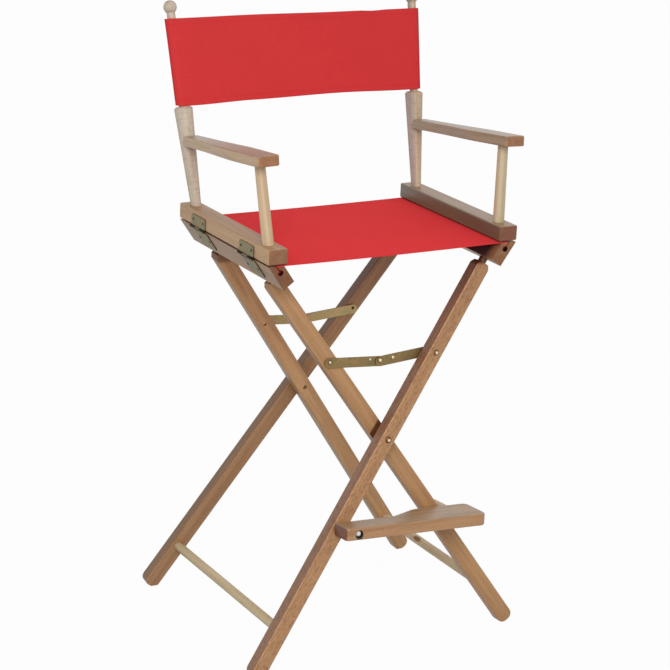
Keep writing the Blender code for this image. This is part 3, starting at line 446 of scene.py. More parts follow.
def addRoundPatch(tree, shader, patch, isHead=False):
    # lets a round patch into the shader's colour; on a head the patch keeps that colour and the rest is a rim
    # of painted shade
    colour = shader.inputs["Base Color"].links[0].from_socket
    x, y, z = patch["place"]
    place = addNode(tree, "ShaderNodeTexCoord")
    mapping = addNode(tree, "ShaderNodeMapping")
    mapping.inputs["Scale"].default_value = (1.0, patch["stretch"], 1.0)
    mapping.inputs["Location"].default_value = (-x, -y * patch["stretch"], -z)
    tree.links.new(place.outputs["Object"], mapping.inputs["Vector"])
    group = addNode(tree, "ShaderNodeGroup", node_tree=groups["round"])
    tree.links.new(mapping.outputs["Vector"], group.inputs["Vector"])
    tree.links.new(colour, group.inputs["Patch" if isHead else "Color"])
    group.inputs["Color" if isHead else "Patch"].default_value = tone(*patch["colour"])
    group.inputs["Radius"].default_value = patch["radius"]
    group.inputs["Soft"].default_value = patch["soft"]
    tree.links.new(group.outputs["Color"], shader.inputs["Base Color"])


def addBandTone(tree, shader, band):
    colour = shader.inputs["Base Color"].links[0].from_socket
    place = addNode(tree, "ShaderNodeTexCoord")
    group = addNode(tree, "ShaderNodeGroup", node_tree=groups["band"])
    tree.links.new(place.outputs["Object"], group.inputs["Vector"])
    tree.links.new(place.outputs["Normal"], group.inputs["Normal"])
    tree.links.new(colour, group.inputs["Color"])
    group.inputs["Tone"].default_value = (*band["tone"], 1.0)
    if "facing" in band:
        group.inputs["Least"].default_value = band.get("least", squareOn)
    for label in ("Axis", "Facing", "Start", "From", "To"):
        if label.lower() in band:
            group.inputs[label].default_value = band[label.lower()]
    tree.links.new(group.outputs["Color"], shader.inputs["Base Color"])


def addRimTone(tree, shader, rim):
    colour = shader.inputs["Base Color"].links[0].from_socket
    place = addNode(tree, "ShaderNodeTexCoord")
    mapping = addNode(tree, "ShaderNodeMapping", vector_type="TEXTURE")
    mapping.inputs["Rotation"].default_value = [radians(angle) for angle in rim["turn"]]
    tree.links.new(place.outputs["Normal"], mapping.inputs["Vector"])
    group = addNode(tree, "ShaderNodeGroup", node_tree=groups["rim"])
    tree.links.new(mapping.outputs["Vector"], group.inputs["Normal"])
    tree.links.new(colour, group.inputs["Color"])
    group.inputs["Tone"].default_value = (*rim["tone"], 1.0)
    tree.links.new(group.outputs["Color"], shader.inputs["Base Color"])


def scaled(colour, share):
    return tuple(value * part for value, part in zip(colour[:3], share)) + (1.0,)


def woodMaterial(name, look, turn, shift):
    # turn is the board's own frame, with z along its grain
    material, tree, shader, group = startMaterial(name, "wood")
    place = addNode(tree, "ShaderNodeTexCoord")
    for source, target, move in (("Object", "Vector", shift), ("Normal", "Normal", (0.0, 0.0, 0.0))):
        mapping = addNode(tree, "ShaderNodeMapping", vector_type="TEXTURE")
        mapping.inputs["Location"].default_value = move
        mapping.inputs["Rotation"].default_value = [radians(angle) for angle in turn]
        tree.links.new(place.outputs[source], mapping.inputs["Vector"])
        tree.links.new(mapping.outputs["Vector"], group.inputs[target])
    for label in ("Light", "Dark", "Fleck"):
        group.inputs[label].default_value = scaled(tone(*look[label.lower()]), look["tint"])
    for label in ("Edge", "Flat", "End"):
        group.inputs[label].default_value = (*look[label.lower()], 1.0)
    for label, key in (("Band Size", "band"), ("Band Amount", "streaks"), ("Fleck Scale", "fleckScale"),
                       ("Fleck Density", "density"), ("Fleck Amount", "flecks"), ("Ray Amount", "rays")):
        group.inputs[label].default_value = look[key]
    shader.inputs["Specular IOR Level"].default_value = look["gloss"]
    shader.inputs["Coat Weight"].default_value = look["coat"]
    shader.inputs["Coat Roughness"].default_value = look["coatRoughness"]
    if "patch" in look:
        addRoundPatch(tree, shader, look["patch"])
    for band in look.get("bands", ()):
        addBandTone(tree, shader, band)
    return material


def plateMaterial(name, look, crown=None, rim=None, band=None):
    material, tree, shader, group = startMaterial(name, "plate")
    place = addNode(tree, "ShaderNodeTexCoord")
    tree.links.new(place.outputs["Object"], group.inputs["Vector"])
    for label in ("Main", "Warm", "Cool"):
        group.inputs[label].default_value = tone(*look[label.lower()])
    group.inputs["Roughness"].default_value = look["roughness"]
    shader.inputs["Metallic"].default_value = look["metallic"]
    if crown:
        addRoundPatch(tree, shader, crown, isHead=True)
    if rim:
        addRimTone(tree, shader, rim)
    if band:
        addBandTone(tree, shader, band)
    return material


def clothMaterial(name, look, low, high):
    material, tree, shader, group = startMaterial(name, "weave")
    cloth = addNode(tree, "ShaderNodeUVMap", uv_map="cloth")
    tree.links.new(cloth.outputs["UV"], group.inputs["Vector"])
    group.inputs["Main"].default_value = tone(*look["main"])
    group.inputs["Shade"].default_value = tone(*look["shade"])
    group.inputs["Low Edge"].default_value = low
    group.inputs["High Edge"].default_value = high
    for label in ("Thread", "Hem", "Stitch"):
        group.inputs[label].default_value = look[label.lower()]
    shader.inputs["Specular IOR Level"].default_value = look["gloss"]
    return material


# two woods, then each board's own tones, which hold painted light and shade as well as the wood's own colour
woodLooks = {
    "beech": {"light": (188, 142, 98), "dark": (152, 108, 70), "fleck": (106, 70, 44),
              "tint": (1.0, 1.0, 1.0), "band": 0.011, "streaks": 0.62, "fleckScale": 760.0, "density": 0.0,
              "flecks": 0.45, "rays": 0.0, "gloss": 0.5, "coat": 0.0, "coatRoughness": 0.28,
              "edge": (0.80, 0.80, 0.84), "flat": (1.0, 1.0, 1.0), "end": (0.62, 0.52, 0.46)},
    "paleWood": {"light": (222, 204, 180), "dark": (194, 174, 148), "fleck": (160, 130, 96),
                 "tint": (1.0, 1.0, 1.0), "band": 0.007, "streaks": 0.62, "fleckScale": 760.0, "density": 0.0,
                 "flecks": 0.22, "rays": 0.0, "gloss": 0.4, "coat": 0.0, "coatRoughness": 0.28,
                 "edge": (1.0, 1.0, 1.0), "flat": (1.0, 1.0, 1.0), "end": (0.80, 0.74, 0.70)},
}
# a leg's top neck, where it enters the rail, darkened: partly the dark joint, partly painted shade
legNeckShade = {"from": 0.712, "to": 0.728, "tone": (0.42, 0.34, 0.30)}
front = (0.0, -1.0, 0.0)
rightInner = (-0.819, 0.0, 0.574)  # the way that the right frame's inner sides look
leftOuter = (-0.819, 0.0, -0.574)
# painted shade on a board's inner side, the faces that look towards -x
innerSideShade = {"axis": (0.0, 0.0, 1.0), "from": -1.0, "to": 0.0, "facing": (-1.0, 0.0, 0.0)}
# painted shade in the bore of a rail's slot, round the rod's end
slotBore = {"stretch": 0.0, "radius": 0.0056, "soft": 0.0008, "colour": (22, 15, 12)}
boardLooks = {
    # painted light and shade: the lifted, bluish side tone and the greyish flat tone are painted reflection
    # and sheen, and the band is painted shade in the gap above the rail
    "left_arm_block": {"edge": (1.16, 1.36, 1.56), "flat": (0.90, 0.98, 1.08), "gloss": 0.6,
                       "bands": [{"from": 0.7662, "to": 0.7645, "tone": (0.42, 0.30, 0.24)}]},
    # the darker tint is the block's own wood; the bluish side and flat tones are painted sheen, the inner
    # side is painted shade, and the bottom band is painted shade in the gap above the rail
    "right_arm_block": {"tint": (0.80, 0.76, 0.74), "edge": (1.05, 1.15, 1.25), "flat": (0.86, 1.05, 1.25),
                        "end": (0.53, 0.23, 0.03), "gloss": 0.7, "coat": 0.30,
                        "bands": [dict(innerSideShade, tone=(0.30, 0.45, 0.48)),
                                  {"from": 0.7668, "to": 0.7648, "tone": (0.42, 0.34, 0.30)}]},
    # painted reflection and sheen: the lifted, bluish side tone and the greyish flat tone on its top
    "left_armrest": {"tint": (0.88, 0.92, 0.98), "edge": (1.22, 1.40, 1.38), "flat": (0.74, 0.94, 1.10),
                     "end": (0.80, 0.56, 0.30), "gloss": 0.7, "coat": 0.50},
    # painted reflection and sheen on its sides and top, and painted shade on its inner side
    "right_armrest": {"tint": (0.88, 0.92, 0.98), "edge": (1.22, 1.40, 1.38), "flat": (0.80, 0.96, 1.12),
                      "end": (0.76, 0.56, 0.34), "gloss": 0.7, "coat": 0.42,
                      "bands": [dict(innerSideShade, tone=(0.62, 0.68, 0.74))]},
    # the patch is painted shade in the slot's bore; the outer face turns less red and a little darker towards
    # the rear
    "left_seat_rail": {"edge": (0.86, 0.90, 0.92), "end": (0.48, 0.34, 0.28),
                       "patch": dict(slotBore, place=(-0.2357, 0.0, 0.7495)),
                       "bands": [{"axis": (0.0, 1.0, 0.0), "from": 0.075, "to": 0.125, "facing": leftOuter,
                                  "tone": (0.84, 0.93, 1.0)}]},
    # painted shade: darker sides, the bore of the slot, and the inner face under the seat, all but its front
    # end
    "right_seat_rail": {"edge": (0.64, 0.62, 0.66), "patch": dict(slotBore, place=(0.2357, 0.0, 0.7495)),
                        "bands": [{"axis": (0.0, 1.0, 0.0), "from": -0.174, "to": -0.146,
                                   "facing": rightInner, "tone": (0.10, 0.14, 0.27)}]},
    # painted shade at the neck, and a painted shadow strip on the front face beside the right front leg,
    # where it crosses in front
    "left_front_leg": {"edge": (0.82, 0.69, 0.46), "tint": (1.03, 1.06, 1.04), "flecks": 0.30,
                       "bands": [legNeckShade, {"axis": rightInner, "start": 0.225, "from": 0.2556, "to": 0.2522,
                                          "facing": front, "tone": (0.26, 0.14, 0.09)}]},
    # painted shade on its sides, at its neck and on its inner side towards the top, and a painted highlight
    # along the arris of its front face
    "right_front_leg": {"edge": (0.555, 0.53, 0.635), "tint": (1.04, 1.035, 1.06), "flecks": 0.46,
                        "fleckScale": 600.0, "density": 0.085, "streaks": 0.30,
                        "bands": [{"from": 0.711, "to": 0.719, "tone": (0.32, 0.17, 0.07)},
                                  {"from": 0.600, "to": 0.720, "facing": rightInner,
                                   "tone": (0.62, 0.68, 0.72)},
                                  {"axis": rightInner, "from": 0.2464, "to": 0.2480, "facing": front,
                                   "tone": (1.24, 1.22, 1.26)}]},
    # painted light: the tint is lifted to brighten the leg, and the band is painted shade at its neck
    "left_rear_leg": {"tint": (1.32, 1.40, 1.44), "edge": (0.68, 0.74, 0.76), "flecks": 0.30,
                      "bands": [{"from": 0.688, "to": 0.698, "tone": (0.42, 0.34, 0.30)}]},
    # painted shade: the tint and side tone are lowered, and the leg is darkened at its neck and on its inner
    # side towards the top
    "right_rear_leg": {"tint": (0.84, 0.84, 0.86), "edge": (0.57, 0.57, 0.58), "flecks": 0.40,
                       "bands": [legNeckShade, {"from": 0.460, "to": 0.660, "facing": rightInner,
                                          "tone": (0.70, 0.58, 0.46)}]},
    # painted sheen: the bluish, lifted tone on its top and bottom; the patch is painted shade in the bolt's
    # counterbore
    "footrest": {"edge": (0.92, 1.15, 1.45), "end": (0.32, 0.13, 0.03), "gloss": 0.6, "coat": 0.15,
                 "patch": {"place": (-0.0915, 0.0, 0.2593), "stretch": 0.0, "radius": 0.0081,
                           "soft": 0.0008, "colour": (44, 35, 27)}},
    "left_back_post": {"rays": 0.35, "tint": (0.86, 0.88, 0.94)},
    # painted shade on the post's inner side
    "right_back_post": {"rays": 0.35, "tint": (0.86, 0.81, 0.74),
                        "bands": [dict(innerSideShade, least=0.45, tone=(0.74, 0.79, 1.0))]},
    "left_front_post": {"tint": (0.92, 0.82, 0.69)},
    "right_front_post": {"tint": (0.84, 0.83, 0.72)},
    "left_stretcher": {"tint": (1.02, 0.98, 0.82), "rays": 0.20,
                       "patch": {"place": (0.2225, 0.0420, 0.0880), "stretch": 0.45, "radius": 0.0055,
                                 "soft": 0.0040, "colour": (138, 92, 54)}},
    "right_stretcher": {"tint": (0.86, 0.82, 0.66), "rays": 0.20},
}
# painted shade on the edges of the straps
strapEdgeShade = {"turn": (0.0, 0.0, 90.0), "tone": (0.34, 0.30, 0.26)}
plateLooks = {
    "hinge": {"main": (138, 129, 102), "warm": (148, 131, 96), "cool": (124, 124, 100),
              "roughness": 0.46, "metallic": 0.70},
    # dark plate for the hinge pins and hinge screws: painted shade along the knuckle and on the screw heads
    "pin": {"main": (74, 66, 48), "warm": (84, 70, 48), "cool": (64, 62, 48),
            "roughness": 0.46, "metallic": 0.70},
    "strap": {"main": (139, 117, 76), "warm": (150, 125, 82), "cool": (123, 111, 74),
              "roughness": 0.40, "metallic": 0.75, "rim": strapEdgeShade},
    # painted light: the rear straps wear a brighter copy of the strap plate, though they are the same metal
    "rearStrapLit": {"main": (176, 153, 106), "warm": (186, 160, 114), "cool": (160, 148, 104),
                  "roughness": 0.40, "metallic": 0.75, "rim": strapEdgeShade},
    "steel": {"main": (196, 196, 194), "warm": (204, 198, 190), "cool": (182, 188, 194),
              "roughness": 0.22, "metallic": 1.0},
    "cap": {"main": (226, 226, 223), "warm": (228, 224, 216), "cool": (214, 220, 224),
            "roughness": 0.34, "metallic": 0.0},
    "brass": {"main": (232, 216, 178), "warm": (236, 214, 168), "cool": (216, 208, 180),
              "roughness": 0.26, "metallic": 1.0},
}

# the turn of each board's grain, in degrees
legAngle, legSplay = 35.0, 6.04
grainTurns = {
    "seat_rail": lambda side, end: (-90.0, side * legAngle, 0.0),
    "leg": lambda side, end: (end * legSplay, side * legAngle, 0.0),
    "arm_block": lambda side, end: (-90.0, 0.0, 0.0),
    "armrest": lambda side, end: (-96.3, 0.0, side * -1.5),
    "back_post": lambda side, end: (-14.25, side * 3.2, 0.0),
    "front_post": lambda side, end: (-8.1, side * 4.8, 0.0),
    "stretcher": lambda side, end: (-90.0, 0.0, 0.0),
    "seat_rod": lambda side, end: (-90.0, 0.0, 0.0),
    "footrest": lambda side, end: (0.0, 90.0, 0.0),
    "footrest_peg": lambda side, end: (-90.0, 0.0, 0.0),
}
grainStep = (0.37, 0.21)  # so that each board is cut from another part of the plank
slotOf = {row["node"]: row["material_slot"] for row in frame["record"]["subparts"]}


def wear(obj, material):
    obj.data.materials.clear()
    obj.data.materials.append(material)


def dressBoard(name, number):
    side = -1 if name.startswith("left") else 1
    end = -1 if "front" in name else 1
    kind = max((k for k in grainTurns if k in name), key=len)
    look = dict(woodLooks["paleWood" if slotOf[name] == "pale_wood" else "beech"])
    look.update(boardLooks.get(name, {}))
    shift = (grainStep[0] * number, grainStep[1] * number, 0.0)
    wear(nodes[name], woodMaterial("wood." + name, look, grainTurns[kind](side, end), shift))


def plateFor(name):
    if name == "footrest_bolt":
        return "cap"
    if name.startswith("footrest") or slotOf[name] == "steel":
        return "steel"
    if "leaf" in name:
        return "hinge"
    if "hinge_pin" in name:
        return "pin"
    if name.endswith("bolt") or name.endswith("rivet"):
        return "brass"
    return "rearStrapLit" if name.startswith("rear") else "strap"


crownSoft = 0.0012
# painted shade: the colour of each head's rim, round its bright crown
crownRimShades = {
    "pivot_bolt": {"radius": 0.0028, "colour": (112, 82, 52)},
    "left_bolt": {"radius": 0.0026, "colour": (112, 82, 52)},
    "right_bolt": {"radius": 0.0027, "colour": (112, 82, 52)},
    "brace_rivet": {"radius": 0.0031, "colour": (124, 104, 66)},
}
# painted shade: the leaves' edges, and a strip along each leaf's knuckle
leafEdgeShade = (0.20, 0.17, 0.14)
leafKnuckleShades = {
    "arm_leaf": {"from": 0.7634, "to": 0.7622, "tone": (0.16, 0.13, 0.10)},
    "rail_leaf": {"from": 0.7606, "to": 0.7616, "tone": (0.16, 0.13, 0.10)},
}


def headMaterial(name):
    # a bright crown with painted shade round it on the rest of the head, for the shaded rim of a countersink
    low, high = (Vector(nodes[name].bound_box[corner]) for corner in (0, 6))
    kind = next(k for k in crownRimShades if name.endswith(k))
    crown = dict(crownRimShades[kind], place=tuple((low + high) / 2), stretch=0.0, soft=crownSoft)
    return plateMaterial("head." + name, plateLooks["brass"], crown=crown)


def leafMaterial(name):
    # a flat olive leaf with painted shade on its edges and along its knuckle
    kind = next(k for k in leafKnuckleShades if name.endswith(k))
    side = -1 if name.startswith("left") else 1
    turn = side * legAngle if kind == "rail_leaf" else 0.0
    rim = {"turn": (0.0, turn, 0.0), "tone": leafEdgeShade}
    return plateMaterial("leaf." + name, plateLooks["hinge"], rim=rim, band=leafKnuckleShades[kind])


plates = {name: plateMaterial(name + "Plate", look, rim=look.get("rim"))
          for name, look in plateLooks.items() if name != "hinge"}  # each leaf has its own
for number, name in enumerate(sorted(nodes)):
    if slotOf[name] in ("beech", "pale_wood"):
        dressBoard(name, number)
    elif slotOf[name] in ("zinc", "steel"):
        plate = plateFor(name)
        special = {"brass": headMaterial, "hinge": leafMaterial}.get(plate)
        wear(nodes[name], special(name) if special else plates[plate])
print("materials made:", len(bpy.data.materials))


# sizes that the new pieces share with the solids, in metres
chairFit = {
    "depthShift": 0.00208, "pivotHeight": 0.4086, "seatHeight": 0.7610, "gap": 0.0003,
    "railThick": 0.0254, "railInset": 0.0025, "slotDepth": 0.014, "slotBore": 0.0053, "rodRadius": 0.0032,
    "blockTop": 0.7924, "backFoot": (0.2406, 0.1505), "backLean": (0.0574, 0.2540),
    "hinge": (0.2631, 0.76203), "hingePlaces": (-0.0965, 0.0965), "leafSink": 0.0009,
}


def finishPiece(obj, name, material):
    obj.name = name
    obj.data.name = name
    wear(obj, material)


creaseAngle = 40.0  # edges sharper than this stay hard


def smoothByAngle(obj):
    bpy.ops.object.select_all(action="DESELECT")
    obj.select_set(True)
    bpy.context.view_layer.objects.active = obj
    bpy.ops.object.shade_smooth_by_angle(angle=radians(creaseAngle))
    obj.select_set(False)


def clothMesh(name, rows, lengths, widths, thick):
    # a grid of points with its cut measured in metres, thickened to a sheet
    rowCount, columnCount = len(rows), len(rows[0])
    points = [point for row in rows for point in row]
    faces = []
    for i in range(rowCount - 1):
        for j in range(columnCount - 1):
            first = i * columnCount + j
            faces.append((first, first + 1, first + columnCount + 1, first + columnCount))
    mesh = bpy.data.meshes.new(name)
    mesh.from_pydata(points, [], faces)
    layer = mesh.uv_layers.new(name="cloth")
    for loop in mesh.loops:
        i, j = divmod(loop.vertex_index, columnCount)
        layer.data[loop.index].uv = (lengths[j], widths[i])
    obj = bpy.data.objects.new(name, mesh)
    scene.collection.objects.link(obj)
    bpy.ops.object.select_all(action="DESELECT")
    bpy.context.view_layer.objects.active = obj
    obj.select_set(True)
    solid = obj.modifiers.new("thick", "SOLIDIFY")
    solid.thickness = thick
    solid.offset = 0.0
    bpy.ops.object.modifier_apply(modifier="thick")
    smoothByAngle(obj)
    return obj


def runLengths(points):
    total = [0.0]
    for first, second in zip(points, points[1:]):
        total.append(total[-1] + (Vector(second) - Vector(first)).length)
    return total


# seat: hemmed round a rod in each rail's slot, stretched over the rails
seatLook = {
    "length": 0.3570, "thick": 0.0012, "sag": 0.0015, "acrossSteps": 22, "alongSteps": 30,
    # the hem goes round the rod from its overlap, and stops short of the slot's ends, most at its bottom
    "hemSteps": 16, "overlap": 0.8, "hemShort": (0.0012, 0.0110), "slotLip": 0.0030, "bend": (0.0005, 0.0002),
    # painted light: the seat's cloth is set brighter than the back's, though both are one canvas
    "cloth": {"main": (248, 69, 72), "shade": (220, 53, 57), "gloss": 0.06,
              "thread": 0.00085, "hem": 0.011, "stitch": 0.0036},
}


def seatHalf(side):
    fit = chairFit
    angle = radians(legAngle)

    def railTop(x):
        return (fit["seatHeight"] - fit["pivotHeight"] - x * sin(angle)) / cos(angle)

    x0 = fit["railInset"]
    z0 = railTop(x0) - fit["slotDepth"]
    loop = (fit["slotBore"] + fit["rodRadius"]) / 2
    steps = seatLook["hemSteps"]
    start, stop = pi / 2 - seatLook["overlap"], -1.5 * pi
    local = []
    for i in range(steps + 1):
        turn = start + (stop - start) * i / steps
        local.append((x0 + loop * cos(turn), z0 + loop * sin(turn)))
    local.append((x0, railTop(x0) - seatLook["slotLip"]))
    points = []
    for px, pz in local:
        rise = fit["pivotHeight"] + px * sin(angle) + pz * cos(angle)
        points.append((px * cos(angle) - pz * sin(angle), rise))
    level = fit["seatHeight"] + fit["gap"] + seatLook["thick"] / 2
    inward, down = seatLook["bend"]
    points.append((points[-1][0] - inward, level - down))
    inner = x0 + fit["railThick"] / 2
    edge = inner * cos(angle) - railTop(inner) * sin(angle)
    points.append((edge, level))
    count = seatLook["acrossSteps"]
    for i in range(1, count + 1):
        share = i / count
        points.append((edge * (1 - share), level - seatLook["sag"] * (1 - (1 - share) ** 2)))
    return [(side * -x, z) for x, z in points]


def makeSeat():
    reach = seatLook["length"] / 2
    cloth = clothMaterial("seatCloth", seatLook["cloth"], -reach, reach)
    for side, word in ((-1, "left"), (1, "right")):
        section = seatHalf(side)
        hem = [z for x, z in section[:seatLook["hemSteps"] + 1]]
        least, most = seatLook["hemShort"]
        shorts = [least + (most - least) * (max(hem) - z) / (max(hem) - min(hem)) for z in hem]
        shorts += [least * 0.5] + [0.0] * (len(section) - len(hem) - 1)
        lengths = runLengths(section)
        lengths = [side * (lengths[-1] - value) for value in lengths]
        rows, widths = [], []
        for step in range(seatLook["alongSteps"] + 1):
            share = 2 * step / seatLook["alongSteps"] - 1
            widths.append(share * reach)
            rows.append([(x, share * (reach - short) + chairFit["depthShift"], z)
                         for (x, z), short in zip(section, shorts)])
        if side > 0:
            rows = [row[::-1] for row in rows]
            lengths = lengths[::-1]
        half = clothMesh("seatCanvas_" + word, rows, lengths, widths, seatLook["thick"])
        finishPiece(half, "seatCanvas_" + word, cloth)
        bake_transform(half)
        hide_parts("seat_canvas")


makeSeat()
print("seat made")


# back: a sleeve on each post and a panel between their upright seams
backLook = {
    "bottom": 0.9770, "top": 1.1295, "thick": 0.0012, "sleeve": (0.0130, 0.0105), "seam": 0.2311,
    "seamGap": 0.0009, "turn": (90.0, 310.0), "sleeveSteps": 24, "upSteps": 16, "acrossSteps": 40,
    "foldKeep": 0.0831, "dip": {"place": 0.165, "reach": 0.030, "depth": 0.0013}, "rearDrop": 0.0050,
    # place across, then how far the lower and the upper hem stand above the plain sheet there
    "hang": ((-0.231, -0.0034, 0.0012), (-0.110, 0.0, 0.0018), (0.080, 0.0028, 0.0), (0.231, 0.0, 0.0)),
    # painted shade: the back's cloth is set darker than the seat's, though both are one canvas
    "cloth": {"main": (222, 64, 65), "shade": (190, 46, 49), "gloss": 0.06,
              "thread": 0.00085, "hem": 0.010, "stitch": 0.0036},
}


def postCentre(side, height):
    fit = chairFit
    rise = height - fit["blockTop"]
    x = fit["backFoot"][0] + fit["backLean"][0] * rise
    y = fit["backFoot"][1] + fit["backLean"][1] * rise
    return Vector((side * x, y + fit["depthShift"], height))


def hangAt(x, share):
    # the cloth has slipped down the left post, and its lower hem is drawn tight
    stops = backLook["hang"]
    x = min(max(x, stops[0][0]), stops[-1][0])
    for first, last in zip(stops, stops[1:]):
        if x <= last[0]:
            part = (x - first[0]) / (last[0] - first[0])
            part = part * part * (3 - 2 * part)
            low, high = (a + (b - a) * part for a, b in zip(first[1:], last[1:]))
            return low + (high - low) * share


def sleeveLoop(side, height):
    wide, deep = backLook["sleeve"]
    share = (height - backLook["bottom"]) / (backLook["top"] - backLook["bottom"])
    centre = postCentre(side, height)
    reach = abs(centre.x) - backLook["seam"]
    first, last = (radians(angle) for angle in backLook["turn"])
    steps = backLook["sleeveSteps"]
    loop = [(-reach, -deep)]
    for i in range(steps + 1):
        turn = first + (last - first) * i / steps
        loop.append((-wide * cos(turn), -deep * sin(turn)))
    loop.append((-reach, -deep + 2 * backLook["seamGap"]))
    level = height + hangAt(side * backLook["seam"], share)
    drop = backLook["rearDrop"] * share ** 8  # each sleeve's back is cut lower than its front
    return [(centre.x + side * x, centre.y + y, level - drop * (y + deep) / (2 * deep))
            for x, y in loop]


def backHeights():
    low, high, count = (backLook[key] for key in ("bottom", "top", "upSteps"))
    return [low + (high - low) * i / count for i in range(count + 1)]


def slackened(point, height, share):
    # the top hem dips a little beside the right post
    dip = backLook["dip"]
    off = (point[0] - dip["place"]) / dip["reach"]
    drop = dip["depth"] * max(0.0, 1.0 - off * off) ** 2 * share ** 6
    return (point[0], point[1], height + hangAt(point[0], share) - drop)


def makeBack():
    heights = backHeights()
    slope = hypot(1.0, *chairFit["backLean"])
    widths = [(height - heights[0]) * slope for height in heights]
    cloth = clothMaterial("backCloth", backLook["cloth"], 0.0, widths[-1])
    for side, word in ((-1, "left"), (1, "right")):
        rows = [sleeveLoop(side, height) for height in heights]
        lengths = runLengths(rows[len(rows) // 2])
        if side < 0:
            rows = [row[::-1] for row in rows]
            lengths = [-value for value in lengths[::-1]]
        sleeve = clothMesh("backSleeve_" + word, rows, lengths, widths, backLook["thick"])
        finishPiece(sleeve, "backSleeve_" + word, cloth)
        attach(sleeve, word + "_arm")
        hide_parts("back_canvas")
    rows, count = [], backLook["acrossSteps"]
    for level, height in enumerate(heights):
        left, right = Vector(sleeveLoop(-1, height)[0]), Vector(sleeveLoop(1, height)[0])
        share = level / backLook["upSteps"]
        rows.append([slackened(left.lerp(right, i / count), height, share) for i in range(count + 1)])
    span = 2 * backLook["seam"]
    lengths = [span * i / count for i in range(count + 1)]
    panel = clothMesh("backPanel", rows, lengths, widths, backLook["thick"])
    finishPiece(panel, "backPanel", cloth)
    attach(panel, "left_arm")
    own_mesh(panel)
    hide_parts("back_canvas")


makeBack()
print("back made")


# small metal heads, each shape modelled once at the origin, facing up
headLooks = {
    "hingeScrew": {"radius": 0.0026, "height": 0.0008, "sides": 20, "rim": 0.0007, "dome": 0.0003,
                   "inner": 0.0010, "step": 0.0002, "dimple": -0.0005, "soft": 0.00012},
    "stopPin": {"radius": 0.0029, "height": 0.0010, "sides": 20, "rim": 0.0008, "dome": 0.0003,
                "inner": 0.0008, "step": 0.0002, "dimple": 0.0001, "soft": 0.00015},
}
screwPlaces = {"along": 0.0200, "armRise": 0.0145, "railDrop": 0.0270, "sink": 0.0003}
pinSplay = 4.953  # the straps lean by this many degrees
# the left links' pins lie nearly flush, because the right links fold over them
pinPlaces = {"left": {"place": (-0.0195, -0.13890, 0.5529), "sink": 0.00127},
             "right": {"place": (0.0280, -0.14090, 0.5520), "sink": 0.0}}


def modelHead(look):
    bpy.ops.object.select_all(action="DESELECT")
    bpy.ops.mesh.primitive_cylinder_add(vertices=look["sides"], radius=look["radius"],
                                        depth=look["height"], location=(0.0, 0.0, look["height"] / 2))
    head = bpy.context.object
    bpy.ops.object.transform_apply(location=True, rotation=True, scale=True)
    bpy.ops.object.mode_set(mode="EDIT")
    bpy.ops.mesh.select_mode(type="FACE")
    bpy.ops.mesh.select_all(action="DESELECT")
    shape = bmesh.from_edit_mesh(head.data)
    for face in shape.faces:
        face.select_set(face.normal.z > 0.9)
    bmesh.update_edit_mesh(head.data)
    bpy.ops.mesh.inset(thickness=look["rim"], depth=look["dome"])
    bpy.ops.mesh.inset(thickness=look["inner"], depth=0.0)
    bpy.ops.mesh.inset(thickness=look["step"], depth=look["dimple"])
    bpy.ops.object.mode_set(mode="OBJECT")
    soft = head.modifiers.new("soft", "BEVEL")
    soft.width = look["soft"]
    soft.segments = 2
    soft.limit_method = "ANGLE"
    bpy.ops.object.modifier_apply(modifier="soft")
    smoothByAngle(head)
    return head


def placeHead(head, name, place, facing, material, body):
    turn = Vector(facing).to_track_quat("Z", "Y").to_matrix().to_4x4()
    mesh = head.data.copy()
    mesh.transform(Matrix.Translation(place) @ turn)
    copy = bpy.data.objects.new(name, mesh)
    scene.collection.objects.link(copy)
    finishPiece(copy, name, material)
    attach(copy, body)


def makeHingeScrews():
    head = modelHead(headLooks["hingeScrew"])
    x, z = chairFit["hinge"]
    angle = radians(legAngle)
    sink = chairFit["leafSink"] + screwPlaces["sink"]
    for side, word in ((-1, "left"), (1, "right")):
        leaves = (
            ("Arm", (side, 0.0, 0.0), (0.0, 0.0, 1.0), screwPlaces["armRise"], word + "_arm"),
            ("Rail", (side * cos(angle), 0.0, -sin(angle)), (-side * sin(angle), 0.0, -cos(angle)),
             screwPlaces["railDrop"], word + "_frame"),
        )
        for leaf, facing, run, reach, body in leaves:
            count = 0
            for y in chairFit["hingePlaces"]:
                for step in (-screwPlaces["along"], screwPlaces["along"]):
                    count += 1
                    middle = Vector((side * x, y + chairFit["depthShift"] + step, z))
                    place = middle - Vector(facing) * sink + Vector(run) * reach
                    label = f"hingeScrew{leaf}_{word}_{count}"
                    placeHead(head, label, place, facing, plates["pin"], body)
    bpy.data.objects.remove(head)


def makeStopPins():
    head = modelHead(headLooks["stopPin"])
    splay = radians(pinSplay)
    for side, pin in pinPlaces.items():
        x, y, z = pin["place"]
        for end, depth, turn in (("front", y, -1), ("rear", 2 * chairFit["depthShift"] - y, 1)):
            facing = Vector((0.0, turn * cos(splay), sin(splay)))
            place = Vector((x, depth, z)) - facing * pin["sink"]
            placeHead(head, f"stopPin_{end}_{side}", place, facing, plates["brass"], f"{end}_{side}_link")
    bpy.data.objects.remove(head)


makeHingeScrews()
makeStopPins()
print("metal heads made")


# a white studio: floor, sky and one large soft lamp
studio = {
    "floorSize": 14.0,
    "floorColour": (0.50, 0.50, 0.50, 1.0),
    "floorRoughness": 0.9,
    "floorWhite": 0.97,
    "skyStrength": 0.55,
    "lamps": (
        {"name": "keyLamp", "place": (-1.72, -3.23, 2.70), "size": 1.8, "power": 90.0},
    ),
}


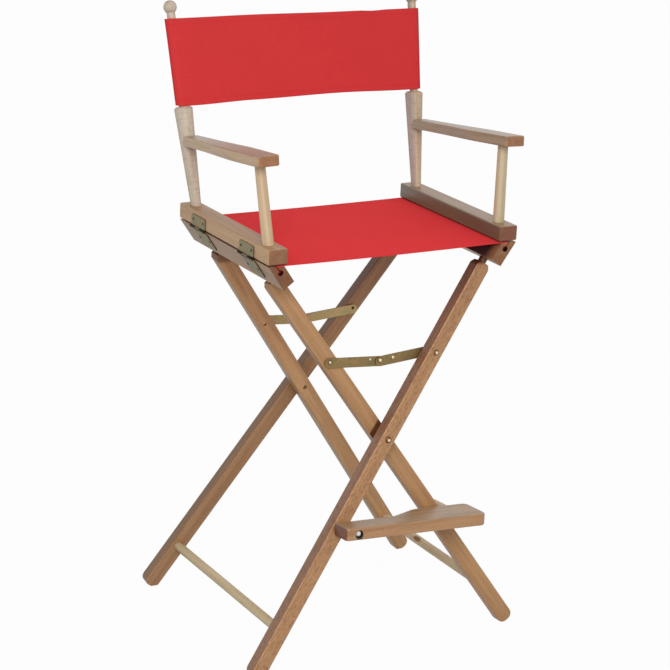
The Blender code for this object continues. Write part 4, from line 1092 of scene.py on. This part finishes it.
def seenDirectly(tree):
    # 1 where the background itself is looked at, reflected or seen through glass
    rays = addNode(tree, "ShaderNodeLightPath")
    seen = mathNode(tree, "ADD", rays.outputs["Is Camera Ray"], rays.outputs["Is Glossy Ray"])
    return mathNode(tree, "ADD", seen, rays.outputs["Is Transmission Ray"], clamp=True)


def makeStudio():
    bpy.ops.object.select_all(action="DESELECT")
    bpy.ops.mesh.primitive_plane_add(size=studio["floorSize"], location=(0.0, 0.0, 0.0))
    floor = bpy.context.object
    floor.name = "studioFloor"
    material = bpy.data.materials.new("studioFloor")
    material.use_nodes = True
    tree = material.node_tree
    shader = tree.nodes["Principled BSDF"]
    shader.inputs["Base Color"].default_value = studio["floorColour"]
    shader.inputs["Roughness"].default_value = studio["floorRoughness"]
    glow = addNode(tree, "ShaderNodeEmission")
    mixer = addNode(tree, "ShaderNodeMixShader")
    share = mathNode(tree, "MULTIPLY", seenDirectly(tree), studio["floorWhite"])
    tree.links.new(share, mixer.inputs[0])
    tree.links.new(shader.outputs[0], mixer.inputs[1])
    tree.links.new(glow.outputs[0], mixer.inputs[2])
    tree.links.new(mixer.outputs[0], tree.nodes["Material Output"].inputs["Surface"])
    wear(floor, material)

    world = bpy.data.worlds.new("studioSky")
    world.use_nodes = True
    scene.world = world
    sky = world.node_tree
    back = sky.nodes["Background"]
    back.inputs["Color"].default_value = (1.0, 1.0, 1.0, 1.0)
    strength = rangeNode(sky, seenDirectly(sky), 0.0, 1.0, studio["skyStrength"], 1.0)
    sky.links.new(strength, back.inputs["Strength"])

    target = (cadLow + cadHigh) / 2
    for lamp in studio["lamps"]:
        data = bpy.data.lights.new(lamp["name"], "AREA")
        data.size = lamp["size"]
        data.energy = lamp["power"]
        obj = bpy.data.objects.new(lamp["name"], data)
        scene.collection.objects.link(obj)
        obj.location = lamp["place"]
        obj.rotation_euler = (target - Vector(lamp["place"])).to_track_quat("-Z", "Y").to_euler()


makeStudio()
scene.view_settings.view_transform = "Standard"
print("studio lit")
